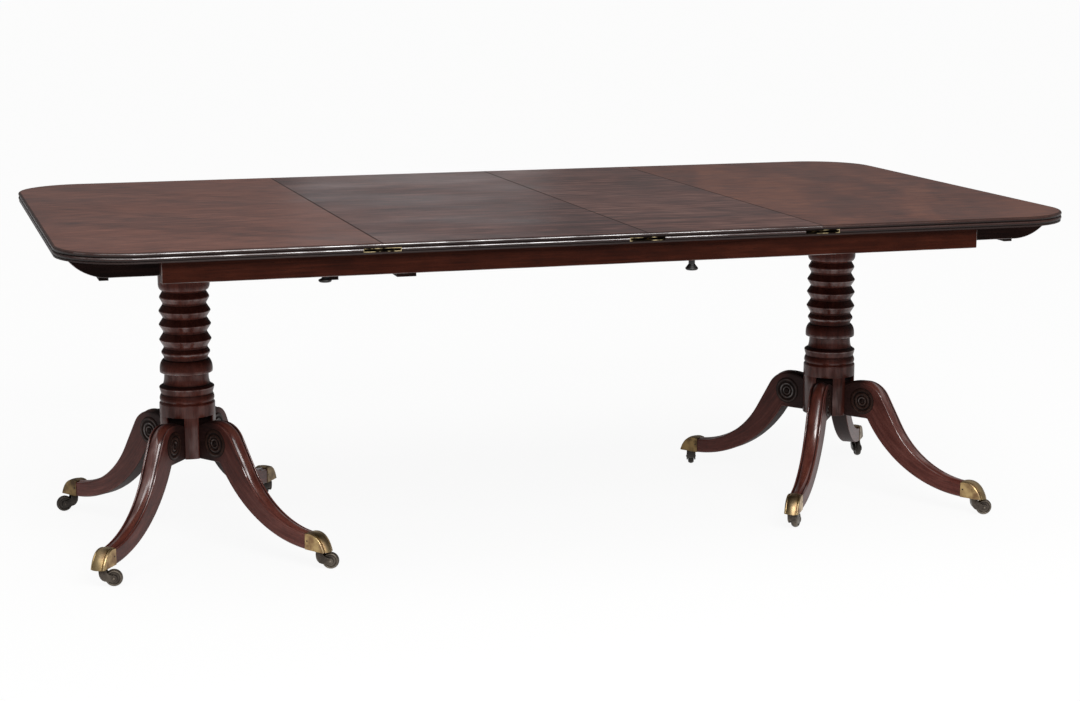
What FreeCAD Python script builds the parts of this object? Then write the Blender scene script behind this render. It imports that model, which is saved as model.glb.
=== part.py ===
import FreeCAD
import Part
import math
import os

from FreeCAD import Rotation, Vector

# Twin-pedestal dining table, in millimetres, +Z up.
# The origin is on the floor under the middle of the top, +X runs along the table.
# Two end sections stand on turned columns with four sabre legs each, and two loose
# leaves lie between them on a pair of long rails.

# The boards of the top
table_width = 1220.0
table_height = 717.0
top_thickness = 21.0
end_width = 606.0
wide_leaf_width = 536.0
narrow_leaf_width = 376.0
board_gap = 0.4
corner_radius = 150.0

# Moulded edge: two beads parted by quirks, over a square fillet
edge_bead_radius = 4.5
edge_bead_pitch = 8.5
edge_bead_wrap = 57.0
quirk_depth = 4.0
fillet_setback = 1.5
edge_strip = 8.0

# Brass sockets for the leaf clips, let into the edge at each joint
clip_slot_height = 5.0
clip_slot_length = 36.0
clip_slot_depth = 32.0
socket_wall = 1.2
socket_setback = 1.0
socket_fit = 0.05

# Long rails under the leaves
rail_left_end = 188.0
rail_right_end = 248.0
rail_setback = 20.0
rail_thickness = 28.0
rail_depth = 42.0
rail_play = 0.2

# Underframe of each end section
column_inset = 308.0
bearer_face = 125.0
bearer_thickness = 40.0
bearer_depth = 42.0
bearer_end_inset = 21.0
bearer_sweep = 100.0
bearer_joint_inset = 3.0
batten_joint_inset = 86.0
batten_end_inset = 96.0
batten_thickness = 18.0
batten_depth = 53.0
block_depth = 42.0
block_half_width = 140.0
block_chamfer = 10.0

# Locating blocks under the wide leaf
leaf_block_inset = 39.0
leaf_block_width = 38.0
leaf_block_length = 60.0
leaf_block_depth = 53.0
leaf_block_play = 0.6

# Turned screw knobs that clamp the rails
end_knob_inset = 106.0
leaf_knob_inset = 106.0
end_knob_drop = 12.0
leaf_knob_drop = 21.0
knob_radius = 13.0
knob_rim = 4.0
knob_neck_radius = 6.5
knob_shank_radius = 4.0
knob_shank_reach = 10.0
knob_running_fit = 0.08
knob_hole_play = 0.5

# Column: the hub stands at a fixed height, and the turned shaft reaches from it to the block
hub_radius = 59.5
hub_bottom = 189.0
hub_height = 91.0

# Zones of the shaft from the hub up; the heights are shared out over the shaft's real length
base_collar_height = 25.0
base_collar_radius = 59.5
low_ring_height = 20.0
low_ring_radius = 58.4
low_ring_groove = 55.5
arris_rise = 14.5
arris_fall = 5.5
arris_radius = 59.2
neck_height = 26.0
neck_radius = 47.7
drum_height = 28.0
drum_radius = 56.5
drum_swell = 0.6
groove_radius = 46.8
collar_groove = 1.3
top_collar_height = 39.0
top_collar_radius = 55.0
top_collar_round = 14.0
stem_height = 67.0
stem_radius = 48.0
tenon_radius = 30.0
ring_quirk = 3.0

# Rings of the shaft from below: groove under the ring, height, crest radius, crest flat
column_rings = (
    (6.2, 19.0, 52.0, 3.0),
    (3.3, 30.0, 55.6, 1.6),
    (3.0, 29.0, 55.5, 1.6),
    (0.8, 28.4, 55.2, 1.6),
    (3.0, 25.0, 53.2, 3.0),
)

# Sabre legs; distances are from the column's axis
leg_angle = 55.0
leg_width = 38.0
toe_width = 30.0
taper_start = 135.0
seat_radius = 46.0
seat_play = 1.0
leg_top = 271.0
hip_drop = 14.0
root_reach = 116.0
knee_start = 101.0
knee_radius = 58.0
shin_slope = 60.0
toe_slope = 3.0
sole_slope = 2.0
toe_top = 71.0
toe_sole = 39.5
reed_width = 22.0
reed_rise = 4.0
reed_sink = 1.0
reed_start = 62.0
dovetail_depth = 12.0
dovetail_neck = 18.0
dovetail_back = 24.0
dovetail_top = 249.0
dovetail_fit = 0.1
roundel_reach = 102.0
roundel_height = 229.0
roundel_radius = 31.0
roundel_rise = 1.8
roundel_boss_radius = 11.0
roundel_boss_rise = 3.0

# Brass caps on the toes
cap_start = 364.0
cap_length = 48.0
cap_width = 33.0
cap_bottom = 39.5
cap_top = 76.0
cap_nose = 33.0
cap_bulge = 9.0
cap_wall = 2.0
cap_fit = 0.2

# Castors
castor_reach = 388.0
swivel_gap = 0.3
swivel_plate = 3.5
swivel_plate_radius = 11.0
swivel_pin_radius = 4.0
swivel_pin_length = 24.0
running_fit = 0.05
wheel_radius = 18.0
wheel_width = 14.0
wheel_tread_crown = 3.0
wheel_hub_radius = 6.0
wheel_hub_rise = 0.6
castor_trail = 22.0
axle_radius = 2.5
cheek_thickness = 3.0
cheek_gap = 0.9
cheek_eye = 6.5
horn_back = 8.0
horn_front = 2.5
horn_foot = 17.0

# Swivel direction of each castor, in degrees from +X
castor_headings = {
    "left_front_outer": -12.0,
    "left_front_inner": -20.0,
    "left_back_outer": 188.0,
    "left_back_inner": 95.0,
    "right_back_inner": 70.0,
    "right_front_inner": 50.0,
    "right_front_outer": -15.0,
    "right_back_outer": 258.0,
}

# How far a cutting shape runs past the face it opens
cut_past = 1.0

# Places that follow from the sizes above
table_length = 2 * end_width + wide_leaf_width + narrow_leaf_width
half_length = table_length / 2
half_width = table_width / 2
underside = table_height - top_thickness
joint_left = -half_length + end_width
joint_middle = joint_left + wide_leaf_width
joint_right = joint_middle + narrow_leaf_width
column_x = half_length - column_inset
rail_outer = half_width - rail_setback
rail_inner = rail_outer - rail_thickness
rail_top = underside - rail_play
rail_bottom = rail_top - rail_depth
bearer_outer = half_width - bearer_face
bearer_inner = bearer_outer - bearer_thickness
slot_middle = table_height - edge_bead_radius - edge_bead_pitch
cap_end = cap_start + cap_length
hub_top = hub_bottom + hub_height
sides = (("front", -1), ("back", 1))


def save(shape, name):
    """Write one node to its own file."""
    shape.exportStep(os.path.join("parts", name + ".step"))


def box(low, high):
    """Box between two corners given as (x, y, z)."""
    size = [b - a for a, b in zip(low, high)]
    return Part.makeBox(*size, Vector(*low))


def cylinder(radius, low, high, x=0.0, y=0.0):
    """Upright cylinder between two heights."""
    return Part.makeCylinder(radius, high - low, Vector(x, y, low))


def outline(*corners):
    """Straight edges through the corners, left open."""
    return [Part.LineSegment(a, b).toShape() for a, b in zip(corners, corners[1:])]


def extrude(edges, direction):
    """Solid from a closed outline."""
    return Part.Face(Part.Wire(Part.__sortEdges__(edges))).extrude(direction)


def turned(edges):
    """Solid of revolution about Z from a closed outline in the XZ plane."""
    face = Part.Face(Part.Wire(Part.__sortEdges__(edges)))
    return face.revolve(Vector(0, 0, 0), Vector(0, 0, 1), 360)


def on_circle(centre, radius, angle):
    """Point of a circle in the XZ plane."""
    turn = math.radians(angle)
    return centre + Vector(radius * math.cos(turn), 0, radius * math.sin(turn))


def arc_about(centre, radius, start, stop):
    """Arc of a circle in the XZ plane, angles in degrees."""
    middle = (start + stop) / 2
    points = [on_circle(centre, radius, angle) for angle in (start, middle, stop)]
    return Part.Arc(*points).toShape()


def spun(shape, angle, x=0.0, y=0.0):
    """Copy turned about Z at the origin, then moved."""
    copy = shape.copy()
    copy.rotate(Vector(0, 0, 0), Vector(0, 0, 1), angle)
    copy.translate(Vector(x, y, 0))
    return copy


def edge_profile():
    """Edges of the moulding in the XZ plane: x is outward from the rim, z is height."""
    wrap = edge_bead_wrap
    upper = Vector(-edge_bead_radius, 0, table_height - edge_bead_radius)
    lower = upper - Vector(0, 0, edge_bead_pitch)
    beads = [
        arc_about(upper, edge_bead_radius, 90, -wrap),
        arc_about(lower, edge_bead_radius, wrap, -wrap),
    ]
    upper_end = on_circle(upper, edge_bead_radius, -wrap)
    lower_start = on_circle(lower, edge_bead_radius, wrap)
    lower_end = on_circle(lower, edge_bead_radius, -wrap)
    quirk = Vector(-quirk_depth, 0, (upper_end.z + lower_start.z) / 2)
    step = (upper_end.z - lower_start.z) / 2
    second_quirk = Vector(-quirk_depth, 0, lower_end.z - step)
    fillet_top = Vector(-fillet_setback, 0, lower_end.z - 2 * step)
    fillet_foot = Vector(-fillet_setback, 0, underside)
    straights = outline(upper_end, quirk, lower_start)
    straights += outline(lower_end, second_quirk, fillet_top, fillet_foot)
    rim_top = Vector(-edge_bead_radius, 0, table_height)
    return beads, straights, rim_top, fillet_foot


def edge_strip_wire():
    """Closed section of the moulded strip, its back plane edge_strip inside the rim."""
    beads, straights, rim_top, foot = edge_profile()
    back = outline(
        foot,
        Vector(-edge_strip, 0, underside),
        Vector(-edge_strip, 0, table_height),
        rim_top,
    )
    return Part.Wire(Part.__sortEdges__(beads + straights + back))


def end_rim():
    """Path of the rim of the left end board, from the front of its joint to the back."""
    x0 = -half_length
    x1 = joint_left - board_gap / 2
    r = corner_radius
    s = r * (1 - math.sqrt(0.5))
    y = half_width

    def at(px, py):
        return Vector(px, py, 0)

    return [
        Part.LineSegment(at(x1, -y), at(x0 + r, -y)).toShape(),
        Part.Arc(at(x0 + r, -y), at(x0 + s, -y + s), at(x0, -y + r)).toShape(),
        Part.LineSegment(at(x0, -y + r), at(x0, y - r)).toShape(),
        Part.Arc(at(x0, y - r), at(x0 + s, y - s), at(x0 + r, y)).toShape(),
        Part.LineSegment(at(x0 + r, y), at(x1, y)).toShape(),
    ]


def end_board():
    """Left end board: a flat core with the moulding carried round three sides."""
    strip = edge_strip_wire()
    strip.rotate(Vector(0, 0, 0), Vector(0, 0, 1), -90)
    strip.translate(Vector(joint_left - board_gap / 2, -half_width, 0))
    moulding = Part.Wire(end_rim()).makePipeShell([strip], True, False)
    inset = edge_strip - fillet_setback
    x0 = -half_length + inset
    x1 = joint_left - board_gap / 2
    y = half_width - inset
    r = corner_radius - inset
    s = r * (1 - math.sqrt(0.5))

    def at(px, py):
        return Vector(px, py, underside)

    edges = outline(at(x1, -y), at(x0 + r, -y))
    edges.append(Part.Arc(at(x0 + r, -y), at(x0 + s, -y + s), at(x0, -y + r)).toShape())
    edges += outline(at(x0, -y + r), at(x0, y - r))
    edges.append(Part.Arc(at(x0, y - r), at(x0 + s, y - s), at(x0 + r, y)).toShape())
    edges += outline(at(x0 + r, y), at(x1, y), at(x1, -y))
    core = extrude(edges, Vector(0, 0, top_thickness))
    return core.fuse(moulding).removeSplitter()


def leaf_board(start, stop):
    """Loose leaf between two joints, moulded along its front and back edges."""
    strip = Part.Face(edge_strip_wire())
    length = Vector(0, stop - start - board_gap, 0)
    front = strip.extrude(length)
    front.rotate(Vector(0, 0, 0), Vector(0, 0, 1), -90)
    front.translate(Vector(start + board_gap / 2, -half_width, 0))
    back = front.copy()
    back.rotate(Vector((start + stop) / 2, 0, 0), Vector(0, 0, 1), 180)
    y = half_width - edge_strip + fillet_setback
    core = box(
        (start + board_gap / 2, -y, underside),
        (stop - board_gap / 2, y, table_height),
    )
    return core.fuse([front, back]).removeSplitter()


def clip_pocket(joint, toward, side):
    """Pocket in a board for one clip socket; toward is -1 or 1 along X from the joint."""
    length = clip_slot_length + socket_wall + socket_fit
    depth = clip_slot_depth + socket_wall + socket_fit
    half = clip_slot_height / 2 + socket_wall + socket_fit
    ends = sorted((joint, joint + toward * length))
    rim = sorted((side * (half_width + board_gap), side * (half_width - depth)))
    return box((ends[0], rim[0], slot_middle - half), (ends[1], rim[1], slot_middle + half))


def clip_socket(joint, toward, side):
    """Brass lining of a pocket, open to the rim and to the joint."""
    start = joint + toward * board_gap / 2
    rim = side * (half_width - socket_setback)
    half = clip_slot_height / 2
    deep = side * (half_width - clip_slot_depth)
    far = joint + toward * clip_slot_length

    def shell(far_x, deep_y, reach):
        ends = sorted((start, far_x))
        depths = sorted((rim, deep_y))
        low = (ends[0], depths[0], slot_middle - reach)
        return box(low, (ends[1], depths[1], slot_middle + reach))

    outer = shell(far + toward * socket_wall, deep - side * socket_wall, half + socket_wall)
    return outer.cut(shell(far, deep, half))


def knob_places():
    """Name, x, side and drop of each screw knob."""
    end_x = joint_left - end_knob_inset
    leaf_x = joint_middle + leaf_knob_inset
    places = []
    for side_name, side in sides:
        places.append(("knob_end_" + side_name, end_x, side, end_knob_drop))
        places.append(("knob_leaf_" + side_name, leaf_x, side, leaf_knob_drop))
    return places


def rail_middle(side):
    """Y of the middle of a rail."""
    return side * (rail_outer + rail_inner) / 2


def knob_sockets():
    """Holes above the rails for the knobs' shanks."""
    top = underside + knob_shank_reach + knob_hole_play
    radius = knob_shank_radius + knob_hole_play
    holes = []
    for name, x, side, drop in knob_places():
        holes.append(cylinder(radius, underside - cut_past, top, x, rail_middle(side)))
    return holes


def make_boards():
    """The four boards of the top with the brass sockets in their edges."""
    holes = knob_sockets()
    left = end_board()
    right = spun(left, 180)
    wide = leaf_board(joint_left, joint_middle)
    narrow = leaf_board(joint_middle, joint_right)
    boards = (
        ("left_top", left, ((joint_left, -1),)),
        ("wide_leaf", wide, ((joint_left, 1), (joint_middle, -1))),
        ("narrow_leaf", narrow, ((joint_middle, 1), (joint_right, -1))),
        ("right_top", right, ((joint_right, 1),)),
    )
    for name, board, joints in boards:
        pockets = [clip_pocket(j, toward, side) for j, toward in joints for _, side in sides]
        linings = [clip_socket(j, toward, side) for j, toward in joints for _, side in sides]
        save(board.cut(pockets + holes), name)
        save(Part.makeCompound(linings), name + "_clip_sockets")


def make_rails():
    """Long front and back rails with running holes for the knobs."""
    for side_name, side in sides:
        faces = sorted((side * rail_outer, side * rail_inner))
        rail = box(
            (-half_length + rail_left_end, faces[0], rail_bottom),
            (half_length - rail_right_end, faces[1], rail_top),
        )
        radius = knob_shank_radius + knob_running_fit
        low = rail_bottom - cut_past
        high = rail_top + cut_past
        bores = []
        for name, x, knob_side, drop in knob_places():
            if knob_side == side:
                bores.append(cylinder(radius, low, high, x, rail_middle(side)))
        save(rail.cut(bores), "rail_" + side_name)


def knob(drop):
    """Turned knob: flat mushroom head, flared neck and a shank up through the rail."""
    foot = rail_bottom - drop
    brim = foot + knob_rim
    shoulder = rail_bottom - rail_play
    top = underside + knob_shank_reach
    neck_foot = brim + (shoulder - brim) / 2

    def at(x, z):
        return Vector(x, 0, z)

    edges = outline(at(0, foot), at(knob_radius - knob_rim, foot))
    crown = on_circle(at(knob_radius - knob_rim, brim), knob_rim, -45)
    edges.append(Part.Arc(at(knob_radius - knob_rim, foot), crown, at(knob_radius, brim)).toShape())
    edges += outline(
        at(knob_radius, brim),
        at(knob_neck_radius, neck_foot),
        at(knob_neck_radius, shoulder),
        at(knob_shank_radius, shoulder),
        at(knob_shank_radius, top),
        at(0, top),
        at(0, foot),
    )
    return turned(edges)


def make_knobs():
    """One knob under each end of the clamped stretch, on both rails."""
    for name, x, side, drop in knob_places():
        save(spun(knob(drop), 0, x, rail_middle(side)), name)


def bearer():
    """Bearer of the left section, at the front: a straight bar with a swept outer end."""
    low = underside - bearer_depth
    high = underside
    tip = -half_length + bearer_end_inset
    turn = math.degrees(math.acos(1 - bearer_depth / bearer_sweep))
    centre = Vector(tip + bearer_sweep * math.sin(math.radians(turn)), 0, low + bearer_sweep)
    inner = joint_left - bearer_joint_inset
    edges = outline(Vector(centre.x, 0, low), Vector(inner, 0, low), Vector(inner, 0, high))
    edges += outline(Vector(inner, 0, high), on_circle(centre, bearer_sweep, 270 - turn))
    edges.append(arc_about(centre, bearer_sweep, 270 - turn, 270))
    bar = extrude(edges, Vector(0, bearer_thickness, 0))
    bar.translate(Vector(0, -bearer_outer, 0))
    return bar


def batten(x, reach):
    """Cross batten on edge under an end board, reaching equally to both sides."""
    half = batten_thickness / 2
    return box((x - half, -reach, underside - batten_depth), (x + half, reach, underside))


def make_underframes():
    """Bearers, battens and pillar block of both end sections."""
    low = underside - batten_depth
    halving = underside - bearer_depth / 2
    inner_x = joint_left - batten_joint_inset
    outer_x = -half_length + batten_end_inset
    half = batten_thickness / 2
    inner = batten(inner_x, rail_inner)
    lower_notch = box((inner_x - half, -half_width, low), (inner_x + half, half_width, halving))
    front = bearer()
    bars = {"front": front, "back": front.mirror(Vector(0, 0, 0), Vector(0, 1, 0))}
    for side_name, bar in bars.items():
        save(bar.cut(lower_notch), "left_bearer_" + side_name)
        save(bar.mirror(Vector(0, 0, 0), Vector(1, 0, 0)), "right_bearer_" + side_name)
        upper = box((inner_x - half, -bearer_outer, halving), (inner_x + half, -bearer_inner, underside))
        if side_name == "back":
            upper = upper.mirror(Vector(0, 0, 0), Vector(0, 1, 0))
        inner = inner.cut(upper)
    save(inner, "left_batten_inner")
    save(batten(outer_x, bearer_inner), "left_batten_outer")
    save(spun(batten(inner_x, bearer_inner), 180, joint_left + joint_right), "right_batten_inner")
    save(batten(-outer_x, bearer_inner), "right_batten_outer")
    block = pillar_block(outer_x + half, inner_x - half)
    save(block, "left_pillar_block")
    save(spun(block, 180), "right_pillar_block")


def pillar_block(start, stop):
    """Thick block between the left section's battens that takes the column's tenon."""
    low = underside - block_depth
    y = block_half_width
    c = block_chamfer
    edges = outline(
        Vector(start, -y, underside),
        Vector(start, -y, low + c),
        Vector(start, -y + c, low),
        Vector(start, y - c, low),
        Vector(start, y, low + c),
        Vector(start, y, underside),
        Vector(start, -y, underside),
    )
    block = extrude(edges, Vector(stop - start, 0, 0))
    mortise = cylinder(tenon_radius, low - cut_past, underside + cut_past, -column_x)
    return block.cut(mortise)


def make_leaf_blocks():
    """Blocks under the wide leaf that sit between the rails and keep it square."""
    x0 = joint_left + leaf_block_inset
    outer = rail_inner - leaf_block_play
    inner = outer - leaf_block_length
    low = underside - leaf_block_depth
    blocks = []
    for _, side in sides:
        faces = sorted((side * outer, side * inner))
        blocks.append(box((x0, faces[0], low), (x0 + leaf_block_width, faces[1], underside)))
    save(Part.makeCompound(blocks), "wide_leaf_blocks")


def shaft_stretch():
    """Share by which the zones of the shaft are drawn out to reach the pillar block."""
    zones = base_collar_height + low_ring_height + arris_rise + arris_fall + neck_height
    zones += drum_height + collar_groove + top_collar_height + stem_height
    zones += sum(ring[0] + ring[1] for ring in column_rings)
    return (underside - block_depth - hub_top) / zones


def column_outline():
    """Closed outline of the turned column, from the foot of the hub to the tenon."""
    stretch = shaft_stretch()

    def at(r, z):
        return Vector(r, 0, z)

    collar_top = hub_top + base_collar_height * stretch
    edges = outline(
        at(0, hub_bottom),
        at(hub_radius, hub_bottom),
        at(hub_radius, hub_top),
        at(base_collar_radius, hub_top + ring_quirk),
        at(base_collar_radius, collar_top),
        at(low_ring_groove, collar_top + ring_quirk),
    )
    ring_foot = at(low_ring_groove, collar_top + ring_quirk)
    ring_head = at(low_ring_groove, collar_top + low_ring_height * stretch)
    crest = at(low_ring_radius, (ring_foot.z + ring_head.z) / 2)
    edges.append(Part.Arc(ring_foot, crest, ring_head).toShape())
    arris = at(arris_radius, ring_head.z + arris_rise * stretch)
    neck_foot = at(neck_radius + ring_quirk, arris.z + arris_fall * stretch)
    edges += outline(ring_head, arris, neck_foot)
    neck_head = at(neck_radius, neck_foot.z + neck_height * stretch)
    scoop = at(neck_radius, (neck_foot.z + neck_head.z) / 2)
    edges.append(Part.Arc(neck_foot, scoop, neck_head).toShape())
    drum_top = neck_head.z + drum_height * stretch
    shoulder = at(drum_radius, (neck_head.z + drum_top) / 2)
    edges += outline(neck_head, at(drum_radius, neck_head.z), shoulder)
    drum_head = at(groove_radius + ring_quirk, drum_top)
    swell = at(drum_radius - ring_quirk / 2, shoulder.z + (drum_top - shoulder.z) * drum_swell)
    edges.append(Part.Arc(shoulder, swell, drum_head).toShape())
    below = at(groove_radius, drum_top)
    edges += outline(drum_head, below)
    for groove, height, radius, flat in column_rings:
        foot = at(groove_radius, below.z + groove * stretch)
        head = at(groove_radius, foot.z + height * stretch)
        middle = (foot.z + head.z) / 2
        lower = at(radius, middle - flat / 2)
        upper = at(radius, middle + flat / 2)
        edges += outline(below, foot, lower, upper, head)
        below = head
    collar_foot = at(groove_radius, below.z + collar_groove * stretch)
    top_collar_top = collar_foot.z + top_collar_height * stretch
    edges += outline(below, collar_foot)
    collar_side = at(top_collar_radius, collar_foot.z + top_collar_round * stretch)
    round_radius = collar_foot.x + (collar_side.x - collar_foot.x) * 0.75
    round_height = collar_foot.z + (collar_side.z - collar_foot.z) * 0.35
    edges.append(Part.Arc(collar_foot, at(round_radius, round_height), collar_side).toShape())
    edges += outline(
        collar_side,
        at(top_collar_radius, top_collar_top),
        at(stem_radius, top_collar_top + ring_quirk),
        at(stem_radius, underside - block_depth),
        at(tenon_radius, underside - block_depth),
        at(tenon_radius, underside),
        at(0, underside),
        at(0, hub_bottom),
    )
    return edges


def dovetail(grow):
    """Tongue of a leg's sliding dovetail, along +X, grown all round by a clearance."""
    back = seat_radius - dovetail_depth - grow
    neck = dovetail_neck / 2 + grow
    tail = dovetail_back / 2 + grow
    corners = [
        Vector(seat_radius + grow, -neck, hub_bottom),
        Vector(back, -tail, hub_bottom),
        Vector(back, tail, hub_bottom),
        Vector(seat_radius + grow, neck, hub_bottom),
        Vector(seat_radius + grow, -neck, hub_bottom),
    ]
    return extrude(outline(*corners), Vector(0, 0, dovetail_top - hub_bottom + grow))


def leg_angles():
    """Directions of the four legs: name of the quarter on the left pedestal, and angle."""
    return (
        ("front_outer", 180 + leg_angle),
        ("front_inner", -leg_angle),
        ("back_outer", 180 - leg_angle),
        ("back_inner", leg_angle),
    )


def column():
    """Column with a seat and a dovetail slot cut in its hub for each leg."""
    body = turned(column_outline())
    half = leg_width / 2 + seat_play
    seat = box((seat_radius, -half, hub_bottom - cut_past), (2 * hub_radius, half, hub_top))
    cuts = []
    for _, angle in leg_angles():
        cuts.append(spun(seat, angle))
        cuts.append(spun(dovetail(dovetail_fit), angle))
    return body.cut(cuts)


def leg_crest():
    """Top line of a leg from the hub to the toe: flat, knee, straight shin, instep."""
    a = math.radians(shin_slope)
    b = math.radians(toe_slope)
    knee = Vector(knee_start, 0, leg_top - knee_radius)
    knee_end = on_circle(knee, knee_radius, 90 - shin_slope)
    toe = Vector(cap_start, 0, toe_top)
    run = toe.x - knee_end.x
    drop = knee_end.z - toe.z
    across = math.sin(a) - math.sin(b)
    down = math.cos(b) - math.cos(a)
    divisor = across * math.sin(a) - down * math.cos(a)
    instep_radius = (run * math.sin(a) - drop * math.cos(a)) / divisor
    shin = (drop * across - run * down) / divisor
    shin_end = knee_end + Vector(shin * math.cos(a), 0, -shin * math.sin(a))
    instep = shin_end + Vector(instep_radius * math.sin(a), 0, instep_radius * math.cos(a))
    return [
        arc_about(knee, knee_radius, 90, 90 - shin_slope),
        Part.LineSegment(knee_end, shin_end).toShape(),
        arc_about(instep, instep_radius, 270 - shin_slope, 270 - toe_slope),
    ]


def hip():
    """Centre, radius and turn of the arc that falls from the knee to the hub."""
    run = knee_start - seat_radius
    radius = (run * run + hip_drop * hip_drop) / (2 * hip_drop)
    return Vector(knee_start, 0, leg_top - radius), radius, math.degrees(math.asin(run / radius))


def leg_side():
    """Closed side outline of a leg."""
    hip_centre, hip_radius, hip_turn = hip()
    root = Vector(root_reach, 0, hub_bottom)
    sole = Vector(cap_start, 0, toe_sole)
    chord = root - sole
    slope = math.radians(sole_slope)
    up = Vector(math.sin(slope), 0, math.cos(slope))
    sole_radius = chord.dot(chord) / (2 * chord.dot(up))
    centre = sole + up * sole_radius
    spoke = root - centre
    root_angle = 360 + math.degrees(math.atan2(spoke.z, spoke.x))
    hip_foot = on_circle(hip_centre, hip_radius, 90 + hip_turn)
    edges = outline(hip_foot, Vector(seat_radius, 0, hub_bottom), root)
    edges.append(arc_about(hip_centre, hip_radius, 90, 90 + hip_turn))
    edges.append(arc_about(centre, sole_radius, root_angle, 270 - sole_slope))
    edges += outline(sole, Vector(cap_start, 0, toe_top))
    return edges + leg_crest()


def reed():
    """Rounded reed laid along the top of a leg."""
    centre, radius, turn = hip()
    start_turn = math.degrees(math.asin((knee_start - reed_start) / radius))
    path = [arc_about(centre, radius, 90 + start_turn, 90)] + leg_crest()
    half = reed_width / 2
    left = Vector(knee_start, -half, leg_top)
    right = Vector(knee_start, half, leg_top)
    sink = Vector(0, 0, -reed_sink)
    edges = [Part.Arc(left, Vector(knee_start, 0, leg_top + reed_rise), right).toShape()]
    edges += outline(right, right + sink, left + sink, left)
    profile = Part.Wire(Part.__sortEdges__(edges))
    profile.rotate(centre, Vector(0, 1, 0), -start_turn)
    return Part.Wire(path).makePipeShell([profile], True, False)


def roundels():
    """Raised roundels with a boss, on both sides of a leg's root."""
    half = leg_width / 2
    shapes = []
    for side in (-1, 1):
        face = Vector(roundel_reach, side * half, roundel_height)
        out = Vector(0, side, 0)
        shapes.append(Part.makeCylinder(roundel_radius, roundel_rise, face, out))
        shapes.append(Part.makeCylinder(roundel_boss_radius, roundel_boss_rise, face, out))
    return shapes


def cap_form(inset):
    """Rounded block of the toe cap, drawn in by an inset on every side but the back."""
    end = cap_end - inset
    low = cap_bottom + inset
    high = cap_top - inset
    half = cap_width / 2 - inset
    nose = Vector(cap_end - cap_nose, 0, cap_top - cap_nose)
    edges = outline(
        Vector(nose.x, 0, high),
        Vector(cap_start, 0, high),
        Vector(cap_start, 0, low),
        Vector(end, 0, low),
        Vector(end, 0, nose.z),
    )
    edges.append(arc_about(nose, cap_nose - inset, 0, 90))
    side = extrude(edges, Vector(0, cap_width, 0))
    side.translate(Vector(0, -cap_width / 2, 0))
    corner = end - cap_bulge
    edges = outline(
        Vector(corner, half, 0),
        Vector(cap_start, half, 0),
        Vector(cap_start, -half, 0),
        Vector(corner, -half, 0),
    )
    edges.append(Part.Arc(Vector(corner, -half, 0), Vector(end, 0, 0), Vector(corner, half, 0)).toShape())
    return side.common(extrude(edges, Vector(0, 0, leg_top)))


def pin_bore():
    """Bore for a castor's swivel pin, through the cap and into the toe."""
    high = cap_bottom + swivel_pin_length + swivel_gap
    return cylinder(swivel_pin_radius + running_fit, cap_bottom - cut_past, high, castor_reach)


def leg():
    """Sabre leg along +X: tapered blade, reed, roundels, dovetail and the toe inside the cap."""
    blade = extrude(leg_side(), Vector(0, leg_width, 0))
    blade.translate(Vector(0, -leg_width / 2, 0))
    half = leg_width / 2
    toe = toe_width / 2
    plan = outline(
        Vector(0, half, 0),
        Vector(taper_start, half, 0),
        Vector(cap_start, toe, 0),
        Vector(cap_start, -toe, 0),
        Vector(taper_start, -half, 0),
        Vector(0, -half, 0),
        Vector(0, half, 0),
    )
    blade = blade.fuse(reed()).common(extrude(plan, Vector(0, 0, table_height)))
    tenon = cap_form(cap_wall + cap_fit)
    whole = blade.fuse([dovetail(0.0), tenon] + roundels())
    return whole.cut(pin_bore()).removeSplitter()


def cap():
    """Hollow brass cap over a toe."""
    hollow = cap_form(cap_wall)
    return cap_form(0.0).cut([hollow, pin_bore()])


def cheek(y):
    """Arm of a castor's horn from the post to the axle."""
    axle_height = wheel_radius
    arm = box(
        (0, y, axle_height - cheek_eye),
        (castor_trail, y + cheek_thickness, axle_height + cheek_eye),
    )
    eye = Part.makeCylinder(
        cheek_eye, cheek_thickness, Vector(castor_trail, y, axle_height), Vector(0, 1, 0)
    )
    return arm.fuse(eye)


def castor_horn():
    """Cast horn: swivel pin, plate, post and two arms, with its axle pin apart."""
    plate_top = cap_bottom - swivel_gap
    plate_low = plate_top - swivel_plate
    inner = wheel_width / 2 + cheek_gap
    outer = inner + cheek_thickness
    plate = cylinder(swivel_plate_radius, plate_low, plate_top)
    pin = cylinder(swivel_pin_radius, plate_low, cap_bottom + swivel_pin_length)
    post = box((-horn_back, -outer, horn_foot), (horn_front, outer, plate_low))
    horn = plate.fuse([pin, post, cheek(-outer), cheek(inner)])
    axle = Part.makeCylinder(
        axle_radius, 2 * outer, Vector(castor_trail, -outer, wheel_radius), Vector(0, 1, 0)
    )
    return horn.cut(axle).removeSplitter(), axle


def wheel():
    """Solid wheel with a crowned tread and low hubs, its axle along Y."""
    half = wheel_width / 2
    shoulder = wheel_radius - wheel_tread_crown
    hub = half + wheel_hub_rise
    bore = axle_radius + running_fit
    edges = outline(
        Vector(shoulder, 0, half),
        Vector(wheel_hub_radius, 0, half),
        Vector(wheel_hub_radius, 0, hub),
        Vector(bore, 0, hub),
        Vector(bore, 0, -hub),
        Vector(wheel_hub_radius, 0, -hub),
        Vector(wheel_hub_radius, 0, -half),
        Vector(shoulder, 0, -half),
    )
    tread = Part.Arc(Vector(shoulder, 0, -half), Vector(wheel_radius, 0, 0), Vector(shoulder, 0, half))
    disc = turned(edges + [tread.toShape()])
    disc.rotate(Vector(0, 0, 0), Vector(1, 0, 0), 90)
    disc.translate(Vector(castor_trail, 0, wheel_radius))
    return disc


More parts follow.
